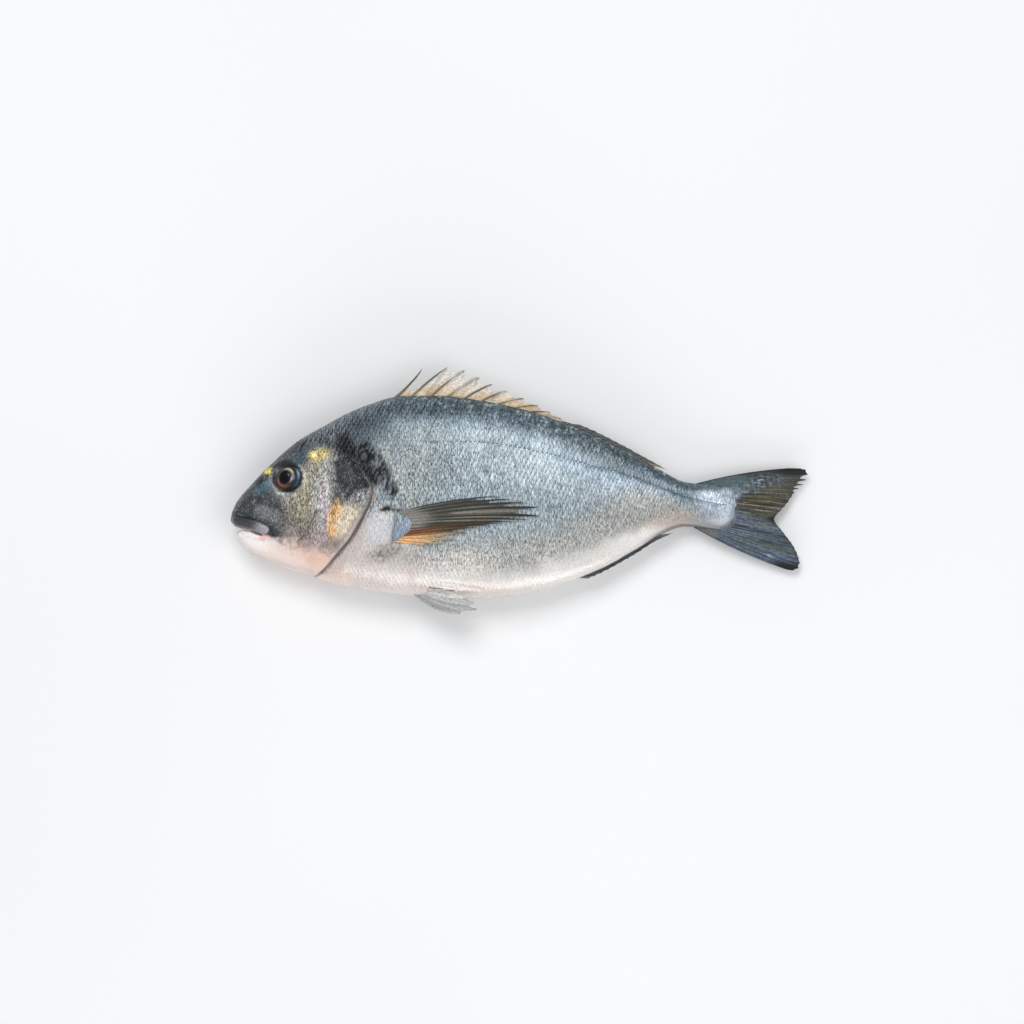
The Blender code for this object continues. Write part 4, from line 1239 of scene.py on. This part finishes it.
def make_fin(name, shape, material):
    points, faces, tone, cover = shape
    make_piece(name, points, faces, material, 50, tone, cover=cover)


def standing(_, half, along, fan):
    """Both faces of a fin in the middle plane, with a slight wave towards its free edge."""
    wave = 0.16 * along * np.sin(fan * 19 + 5 * along) + 0.12 * along**2 * np.sin(fan * 47)
    return wave + half, wave - half


def spine_rods(bases, tips, radii, bows):
    """Sharp round spines that lean a little to the left and right in turn."""
    shapes = []
    for number, (base, tip, radius, bow) in enumerate(zip(bases, tips, radii, bows)):
        t = np.linspace(0, 1, 16)
        line = bowed_rays([base], [tip], [bow], 16)[0]
        lean = 0.05 * (-1) ** number * t
        taper = radius * (1 - 0.9 * t**1.3)
        points, faces = tube(np.c_[line, lean], taper, 8, up=(0.0, 0.0, 1.0))
        tone = blend(plain(t, (132, 124, 106)), (58, 57, 56), ramp(t, 0.1, 0.9))
        shapes.append((points, faces, np.repeat(tone, 8, axis=0), np.ones(16 * 8)))
    return joined(shapes)


def folded_fin(name, edge, rays, reach, paint, material, bow, notch, ragged, seed):
    """A soft fin that lies folded down along the back or the belly."""
    first, last, count = rays
    length, rise = reach
    starts = np.linspace(first, last, count)
    bases = [(x, edge(x) - math.copysign(FIN_ROOT, rise)) for x in starts]
    tips = [(x + length, edge(x + length) + rise) for x in starts]
    lines = bowed_rays(bases, tips, np.full(count, bow), 20)
    shape = fin_sheet(lines, standing, notch, paint, ray_half=0.2, skin_half=0.09, per_gap=8,
                      ragged=ragged, seed=seed)
    make_fin(name, shape, material)


def dorsal_fin(material):
    """The spines with the torn membrane between them, and the soft part behind."""
    bases = [(x, back(x) - FIN_ROOT) for x, _, _ in DORSAL_SPINES]
    tips = [(x, y) for _, x, y in DORSAL_SPINES]
    bows = np.r_[FIRST_SPINE_BOW, np.full(len(bases) - 1, SPINE_BOW)]
    radii = np.r_[FIRST_SPINE_RADIUS, np.full(len(bases) - 1, SPINE_RADIUS)]
    make_fin("dorsal_spines", spine_rods(bases, tips, radii, bows), material)

    def membrane(fan, along, ridge, flat):
        x, y = flat[..., 0], flat[..., 1]
        up = y - back(x)
        glow = ramp(smooth_noise(1.4 * x - 1.2 * y, 0.3 * y, 0.6, 53), 0.5, 0.8)
        streak = smooth_noise(3.2 * x - 2.4 * y, 0.2 * y, 0.6, 52)
        tone = layered(plain(along, (240, 218, 184)), (
            ((250, 242, 230), ramp(up + 1.6 * smooth_noise(x, y, 0.9, 51), 0.8, 2.8)),
            ((236, 190, 130), 0.65 * glow * fall(up, 0.8, 3.0)),
            ((186, 172, 146), 0.6 * ramp(fan, 0.5, 0.95)),
            ((128, 116, 100), 0.4 * ramp(streak, 0.55, 0.8)),
            ((104, 98, 94), 0.8 * ramp(along, 0.93, 1.0)),
            ((96, 92, 86), 0.6 * ridge),
        ))
        return tone, 0.85 + 0.15 * ridge

    shape = fin_sheet(bowed_rays(bases, tips, bows, 26), standing, DORSAL_NOTCHES, membrane,
                      ray_half=0.1, skin_half=0.045, per_gap=10, ragged=0.06, seed=41)
    make_fin("dorsal_membrane", shape, material)

    def folded(fan, along, ridge, _):
        tone = layered(plain(along, (104, 106, 100)), (
            ((60, 66, 68), ridge),
            ((168, 148, 118), 0.6 * ramp(fan, 0.75, 1.0) * (1 - ridge)),
        ))
        return tone, 1.0

    folded_fin("dorsal_soft_rays", back, DORSAL_SOFT_RAYS, DORSAL_SOFT_REACH, folded, material,
               bow=0.15, notch=0.05, ragged=0.03, seed=42)


def anal_fin(material):
    """The soft fin under the tail's root, dark towards its edge."""

    def folded(fan, along, ridge, _):
        tone = blend(plain(along, (106, 104, 99)), (64, 66, 66), ridge)
        dark = ramp(along, 0.3, 0.75) * window(fan, 0.0, 0.12, 0.75, 1)
        return blend(tone, (58, 61, 64), dark), 1.0

    folded_fin("anal_fin", belly, ANAL_RAYS, ANAL_REACH, folded, material,
               bow=0.0, notch=0.04, ragged=0.02, seed=43)


def caudal_fin(material):
    """The forked tail: rays that split towards the free edge, dark at the tips."""
    tips_path, base_path = path_through(CAUDAL_TIPS), path_through(CAUDAL_BASE)
    spread = np.linspace(0, 1, CAUDAL_RAYS)
    tips, bases = tips_path(spread), base_path(spread)
    bow = np.linspace(CAUDAL_BOW, -CAUDAL_BOW, CAUDAL_RAYS)
    gaps = np.linspace(0, 1, CAUDAL_RAYS - 1)
    notch = 0.004 + 0.07 * window(gaps, 0.13, 0.17, 0.26, 0.3)

    def paint(fan, along, ridge, flat):
        x, y = flat[..., 0], flat[..., 1]
        fine, broad = streaks(fan, along, 110, 3.0, 71), streaks(fan, along, 30, 2.0, 72)
        specks = smooth_noise(x, y, 0.26, 73)
        olive = blob(x, y, (94.6, 1.4), (3.6, 2.0), 24, 0.6)
        middle = blob(x, y, (91.8, -0.8), (4.8, 2.0), 4, 0.6)
        lower = ramp(-y - 0.35 * (x - 88), 1.6, 3.0)
        upper = ramp(y - 0.16 * (x - 88), 0.9, 1.8) * fall(x, 93, 98)
        # Pale flecks on the upper lobe are painted highlights
        painted_glint_band = stroke(x, y, ((85.0, 2.0), (88.0, 2.3), (91.5, 2.9), (95.0, 3.4)), 1.1)
        painted_glint_band *= 1 - 0.8 * ramp(x, 88, 96)
        tips_dark = np.maximum(blob(x, y, (98.2, 4.95), (3.4, 0.9), 4, 0.5),
                               blob(x, y, (96.9, -12.1), (3.4, 1.0), -14, 0.5))
        tips_dark = np.maximum(tips_dark, blob(x, y, (94.2, -3.6), (1.3, 0.6), -10, 0.6))
        edge = ramp(np.abs(fan - 0.5), 0.465, 0.495)
        tone = layered(plain(along, (58, 63, 64)), (
            ((84, 90, 90), 0.7 * ramp(broad, 0.35, 0.8)),
            ((94, 90, 52), 0.75 * olive * (0.3 + 0.7 * ramp(broad, 0.3, 0.7))),
            ((70, 67, 60), 0.8 * middle),
            ((160, 144, 128), 0.8 * middle * ramp(fine, 0.66, 0.84)),
            ((88, 86, 42), 0.6 * middle * ramp(broad, 0.6, 0.8)),
            ((16, 16, 16), 0.9 * middle * fall(fine, 0.25, 0.45)),
            ((87, 102, 121), lower),
            ((142, 154, 166), 0.32 * lower * ramp(fine, 0.6, 0.85) * (0.4 + 0.9 * specks)),
            ((96, 102, 82), 0.6 * lower * ramp(broad, 0.55, 0.8)),
            ((30, 35, 43), 0.8 * lower * fall(fine, 0.2, 0.42)),
            ((150, 166, 196), 0.8 * blob(x, y, (93.3, -9.9), (0.7, 0.24), -28, 0.7)),
            ((60, 67, 70), upper),
            ((180, 194, 210), 0.85 * painted_glint_band * ramp(specks, 0.45, 0.75)),
            ((22, 26, 30), 0.85 * stroke(x, y, ((86.6, 1.0), (89.5, 0.75), (92.5, 0.9)), 0.14)),
            ((34, 38, 40), 0.5 * ridge * ramp(along, 0.0, 0.3)),
            ((40, 42, 48), 0.8 * ramp(along, 0.95, 1.0)),
            ((8, 9, 12), 0.97 * tips_dark),
            ((46, 51, 54), 0.8 * edge * (1 - tips_dark)),
        ))
        tone = tone * (0.72 + 0.7 * specks)[..., None]
        flesh = fall(x + 0.8 * fine, tail_flesh(y) - 1.0, tail_flesh(y) + 1.2)
        skin = skin_tone(np.minimum(x, 88.0), y, share_of_height(np.minimum(x, 86.0), y))
        return mix(tone, skin, flesh * (1 - edge)), 1.0

    rays = bowed_rays(bases, tips, bow, 56)
    shape = fin_sheet(rays, standing, notch, paint, ray_half=0.16, skin_half=0.06, per_gap=12,
                      ragged=0.005, seed=44, split=0.26)
    make_fin("caudal_fin", shape, material)


def pelvic_fin(side, word, material):
    near, far = PELVIC_SPREAD
    count = len(PELVIC_TIPS)
    bases = path_through(PELVIC_BASE)(np.linspace(0, 1, count))
    rays = bowed_rays(bases, PELVIC_TIPS, np.linspace(-PELVIC_BOW, 0.0, count), 30)

    def spread(flat, half, along, fan):
        run = ramp(flat[..., 0], PELVIC_BASE[0][0], PELVIC_TIPS[1][0])
        wave = 0.1 * along * np.sin(fan * 25)
        over_belly = (flank(flat[..., 0], flat[..., 1]) + 0.2) * ramp(along, 0.02, 0.2)
        middle = side * (np.maximum(near + (far - near) * run, over_belly) + wave)
        return middle + half, middle - half

    def paint(fan, along, ridge, _):
        fine, broad = streaks(fan, along, 52, 2.0, 61), streaks(fan, along, 16, 1.4, 62)
        tone = layered(plain(along, (212, 210, 206)), (
            ((160, 160, 160), fall(fan, 0.2, 0.6)),
            ((122, 123, 124), 0.6 * ramp(fine, 0.55, 0.8) * (0.4 + 0.6 * (1 - fan))),
            ((140, 140, 142), 0.6 * ramp(broad, 0.5, 0.8)),
            ((236, 234, 232), 0.4 * ridge),
        ))
        return tone, 1.0

    shape = fin_sheet(rays, spread, 0.09, paint, ray_half=0.16, skin_half=0.07, per_gap=12,
                      ragged=0.04, seed=45, split=0.2)
    make_fin(f"pelvic_fin_{word}", shape, material)


def pectoral_fin(side, word, material):
    """Folded back along the flank: long dark rays on top, orange and pale ones below."""
    count = len(PECTORAL_NOTCHES) + 1
    spread = np.linspace(0, 1, count)
    tips = path_through(PECTORAL_TIPS)(spread)
    bases = path_through(PECTORAL_BASE)(spread)
    rays = bowed_rays(bases, tips, np.linspace(PECTORAL_BOW, 0.0, count), 48)

    def hugging(flat, half, along, fan):
        skin = flank(flat[..., 0], flat[..., 1])
        relief = trunk_relief(flat[..., 0], flat[..., 1])
        middle = skin + relief + 0.22 + (0.12 + 0.05 * np.sin(fan * 40)) * along
        return side * (middle + half), side * (middle - half)

    def paint(fan, along, ridge, _):
        fine = streaks(fan, along, 60, 1.8, 81)
        line = ridge**0.32
        root = fall(along, 0.06, 0.24) * fall(fan, 0.5, 0.62)
        brown = ramp(fan, 0.42, 0.5) * ramp(along, 0.05, 0.3)
        orange = ramp(fan, 0.54, 0.64) * fall(along, 0.25, 0.6)
        pale = ramp(fan, 0.72, 0.84)
        dark = line * fall(fan, 0.44, 0.54) * (1 - 0.75 * root)
        sheer = 0.5 * ramp(along, 0.3, 0.8) + 0.1 * pale * ramp(along, 0.2, 0.6)
        tone = layered(plain(along, (79, 80, 72)), (
            ((146, 142, 124), ramp(fine, 0.5, 0.85)),
            ((146, 141, 137), 0.85 * root),
            ((64, 54, 28), brown * (1 - 0.5 * ramp(fine, 0.5, 0.8))),
            ((138, 82, 42), orange),
            ((255, 196, 140), pale),
            ((226, 206, 170), pale * ramp(along, 0.3, 0.7)),
            ((140, 118, 54), 0.7 * pale * ramp(fine, 0.5, 0.8)),
            ((16, 19, 18), 0.97 * dark),
            ((62, 42, 22), 0.75 * line * ramp(fan, 0.42, 0.5) * (1 - pale)),
            ((120, 76, 40), 0.5 * line * pale),
            ((58, 40, 24), 0.6 * ramp(along, 0.7, 0.95) * brown),
        ))
        return tone, 1.0 - sheer * (1 - line)

    shape = fin_sheet(rays, hugging, PECTORAL_NOTCHES, paint, ray_half=0.15, skin_half=0.05,
                      per_gap=12, ragged=0.04, seed=46)
    make_fin(f"pectoral_fin_{word}", shape, material)


# Eyes, lips, gills and lateral line

def make_soft(name, shape, material):
    """A piece without sharp edges, from its points, faces and tone."""
    points, faces, tone = shape
    make_piece(name, points, faces, material, 60, tone)


def eye_colour(x, y):
    """Rings of colour round the pupil. Places are from the eye's middle."""
    px, py = x - PUPIL_OFFSET[0], y - PUPIL_OFFSET[1]
    ring = np.hypot(px, py)
    angle = np.arctan2(py, px)

    def towards(degrees, spread):
        return np.clip(np.cos(angle - math.radians(degrees)), 0, 1) ** spread

    def band(low, high, soft=0.12):
        return window(ring, low - soft, low + soft, high - soft, high + soft)

    return layered(plain(x, (52, 44, 42)), (
        ((126, 130, 104), band(1.18, 1.42) * towards(50, 2.5) * 0.7),
        ((204, 200, 178), band(1.4, 1.72) * towards(52, 3.5)),
        # Bluish patch by the pupil's lower right: a painted highlight
        ((168, 170, 190), band(1.2, 1.46) * towards(-22, 10) * 0.9),
        ((148, 94, 72), band(1.4, 1.72) * towards(232, 2.2)),
        ((186, 112, 100), band(1.3, 1.5, 0.08) * towards(198, 12) * 0.8),
        ((96, 58, 42), band(1.66, 2.0) * towards(255, 2) * 0.9),
        ((22, 24, 30), ramp(ring, 1.78, 1.98) * (1 - 0.9 * towards(205, 2.5))),
        ((144, 134, 98), band(1.95, 2.5) * towards(190, 2.0)),
        ((44, 58, 76), band(1.95, 2.75, 0.2) * towards(-8, 2.0)),
        # Pale blue arc at the eye's right: a painted highlight
        ((150, 178, 196), band(2.2, 2.5, 0.15) * towards(14, 16)),
        ((4, 5, 8), fall(ring, 1.06, 1.18)),
    ))


def eye(side, word, material):
    """A flattened ball in its socket, and the lens that bulges from the pupil."""
    normal = flank_normal(*EYE_CENTRE, side)
    first = np.array([1.0, 0.0, 0.0])
    first -= normal * (first @ normal)
    first /= np.linalg.norm(first)
    second = np.cross(normal, first) * side
    depth = EYE_RADIUS * EYE_FLATNESS
    centre = on_flank(EYE_CENTRE, side, EYE_BULGE - depth)
    polar = np.linspace(0.0, math.pi, 60)[1:-1, None]
    turn = np.linspace(0, 2 * math.pi, 80)[None, :-1]
    balls = (
        ((0.0, 0.0), EYE_RADIUS, depth, 0.0, 0.0),
        (PUPIL_OFFSET, LENS_RADIUS, LENS_HEIGHT, depth - LENS_SINK, LENS_TILT),
    )
    shapes = []
    for middle, radius, height, out, tilt in balls:
        u = middle[0] + radius * np.sin(polar) * np.cos(turn)
        v = middle[1] + radius * np.sin(polar) * np.sin(turn)
        w = height * np.cos(polar) + out + tilt * (v - middle[1])
        points = centre + u[..., None] * first + v[..., None] * second + w[..., None] * normal
        shapes.append((points, loft_faces(*points.shape[:2]), eye_colour(u, v).reshape(-1, 3)))
    make_soft(f"eye_{word}", joined(shapes), material)


def lip(name, line, radii, colours, material, sink, flatness):
    """A soft roll round the front of a jaw, from one corner of the mouth to the other."""
    right = [on_flank(spot, -1, -sink) for spot in reversed(line)]
    left = [on_flank(spot, 1, -sink) for spot in line]
    path = path_through(right + left)
    size = curve_through(np.c_[np.linspace(0, 1, 2 * len(radii)), radii[::-1] + radii])
    shares = np.linspace(0, 1, 141)
    ends = np.sqrt(np.clip(np.minimum(shares, 1 - shares) / 0.025, 0.02, 1))
    points, faces = tube(path(shares), size(shares) * ends, 20, flatness=flatness)
    make_soft(name, (points, faces, colours(points[..., 0], points[..., 1]).reshape(-1, 3)), material)


def lips(material):
    def upper(x, y):
        return layered(plain(x, (70, 68, 70)), (
            ((160, 158, 162), ramp(x, 3.4, 5.6)),
            ((146, 142, 146), 0.6 * fall(y + 0.22 * x, -4.5, -4.1)),
            ((44, 46, 52), 0.7 * ramp(y + 0.22 * x, -3.7, -3.1)),
        ))

    def lower(x, _):
        # The lip's white is partly its own pale colour and partly a painted highlight
        return layered(plain(x, (252, 243, 239)), (
            ((242, 190, 186), ramp(x, 4.2, 5.8)),
            ((206, 194, 190), 0.5 * fall(x, 0.6, 1.6)),
        ))

    lip("upper_lip", UPPER_LIP, UPPER_LIP_RADII, upper, material, sink=0.12, flatness=0.5)
    lip("lower_lip", LOWER_LIP, LOWER_LIP_RADII, lower, material, sink=0.18, flatness=0.75)


def gill_membranes(material):
    """The red rim of skin that shows in each gill's slit, darkened with painted shade."""
    share = np.linspace(0.03, 0.58, 120)
    x = gill_edge(share) + 0.12
    for side, word in SIDES:
        turn = side * np.arccos(1 - 2 * share)
        path = skin_point(x, turn, 0.02 - 0.3 * ramp(share, 0.535, 0.57))
        radii = 0.17 * np.sqrt(np.clip(np.minimum(share - 0.02, 0.59 - share) / 0.1, 0.02, 1))
        points, faces = tube(path, radii, 8, up=(1.0, 0.0, 0.0))
        # Dark red, deepened with the painted shade of the slit
        tone = blend(plain(share, (54, 26, 21)), (20, 19, 22), ramp(share, 0.55, 0.58))
        tone = tone * (0.55 + 0.9 * smooth_noise(60 * share, 0 * share, 1.0, 36))[:, None]
        tone = blend(tone, (222, 168, 142), 0.7 * bell(share - 0.535, 0.025))
        make_soft(f"gill_membrane_{word}", (points, faces, np.repeat(tone, 8, axis=0)), material)


def lateral_lines(material):
    """A row of small pored scales from the gill to the tail, faint at first."""
    starts = scale_columns(26.5, 85.0, 2 * COLUMN_STEP, TAIL_SCALE_SIZE)
    chance = np.random.default_rng(91).random((len(starts), 2))
    for side, word in SIDES:
        shapes = []
        for start, (sway, depth) in zip(starts, chance):
            x = start + np.linspace(0, 0.62, 5) * (1 - 0.4 * ramp(start, 50, 84))
            y = lateral_line(x) + 0.12 * (sway - 0.5) + np.linspace(0.05, -0.05, 5)
            share = share_of_height(x, y)
            turn = side * np.arccos(1 - 2 * share)
            points, faces = tube(skin_point(x, turn, SCALE_BED + 0.06), PORE_RADII, 6)
            strength = (0.25 + 0.6 * ramp(start, 37, 45)) * (0.6 + 0.4 * depth)
            tone = blend(skin_tone(x, y, share), (50, 58, 70), strength)
            shapes.append((points, faces, np.repeat(tone, 6, axis=0)))
        make_soft(f"lateral_line_{word}", joined(shapes), material)


# Surroundings

def make_floor():
    mesh = bpy.data.meshes.new("floor")
    reach = 4.0
    corners = [(-reach, -reach, 0), (reach, -reach, 0), (reach, reach, 0), (-reach, reach, 0)]
    mesh.from_pydata(corners, [], [(0, 1, 2, 3)])
    floor = add_object("floor", mesh)
    floor.location.z = LOW[2] - 0.0002
    mesh.materials.append(floor_material())


def make_lamp(name, place, size, energy, aim=(0.0, 0.0, 0.0)):
    data = bpy.data.lights.new(name, "AREA")
    data.shape = "RECTANGLE"
    data.size, data.size_y = size
    data.energy = energy
    lamp = add_object(name, data)
    lamp.location = place
    direction = np.array(aim) - np.array(place)
    yaw = math.atan2(direction[1], direction[0])
    pitch = math.atan2(math.hypot(direction[0], direction[1]), -direction[2])
    lamp.rotation_euler = (pitch, 0.0, yaw - math.pi / 2)


def make_lights():
    make_lamp("key", (-0.35, 1.0, 1.8), (0.9, 0.9), 17)
    make_lamp("fill", (0.9, -0.5, 1.7), (1.4, 1.4), 9)
    make_lamp("low", (-0.1, -1.6, 0.6), (1.8, 0.6), 9)
    world = bpy.data.worlds.new("studio")
    bpy.context.scene.world = world
    world.use_nodes = True
    set_sockets(world.node_tree.nodes["Background"], Color=(0.93, 0.96, 1.0, 1.0), Strength=0.42)
    bpy.context.scene.view_settings.view_transform = "Standard"


def make_camera():
    """Straight above the fish, with its back to the top of the picture, framed as in the photograph."""
    pixel = (HIGH[0] - LOW[0]) / (FISH_SPAN[1] - FISH_SPAN[0])
    data = bpy.data.cameras.new("camera")
    data.sensor_width = SENSOR_WIDTH
    data.lens = SENSOR_WIDTH * CAMERA_DISTANCE / (PHOTO_SIZE * pixel)
    data.clip_end = 20.0
    camera = add_object("camera", data)
    middle = (LOW + HIGH) / 2
    right = (sum(FISH_SPAN) - PHOTO_SIZE) / 2 * pixel
    above = (PHOTO_SIZE / 2 - FISH_MIDDLE_HEIGHT) * pixel
    camera.location = (middle[0] - right, middle[1] - above, REST_HEIGHT * PERCENT + CAMERA_DISTANCE)
    bpy.context.scene.camera = camera


def build():
    make_camera()
    make_lights()
    make_floor()
    fish_skin()
    plates = scale_material()
    for side, word in SIDES:
        side_scales(side, word, plates)
    fins = fin_material()
    dorsal_fin(fins)
    anal_fin(fins)
    caudal_fin(fins)
    soft = lip_material()
    glass = eye_material()
    for side, word in SIDES:
        pelvic_fin(side, word, fins)
        pectoral_fin(side, word, fins)
        eye(side, word, glass)
    lips(soft)
    gill_membranes(soft)
    lateral_lines(soft)


build()
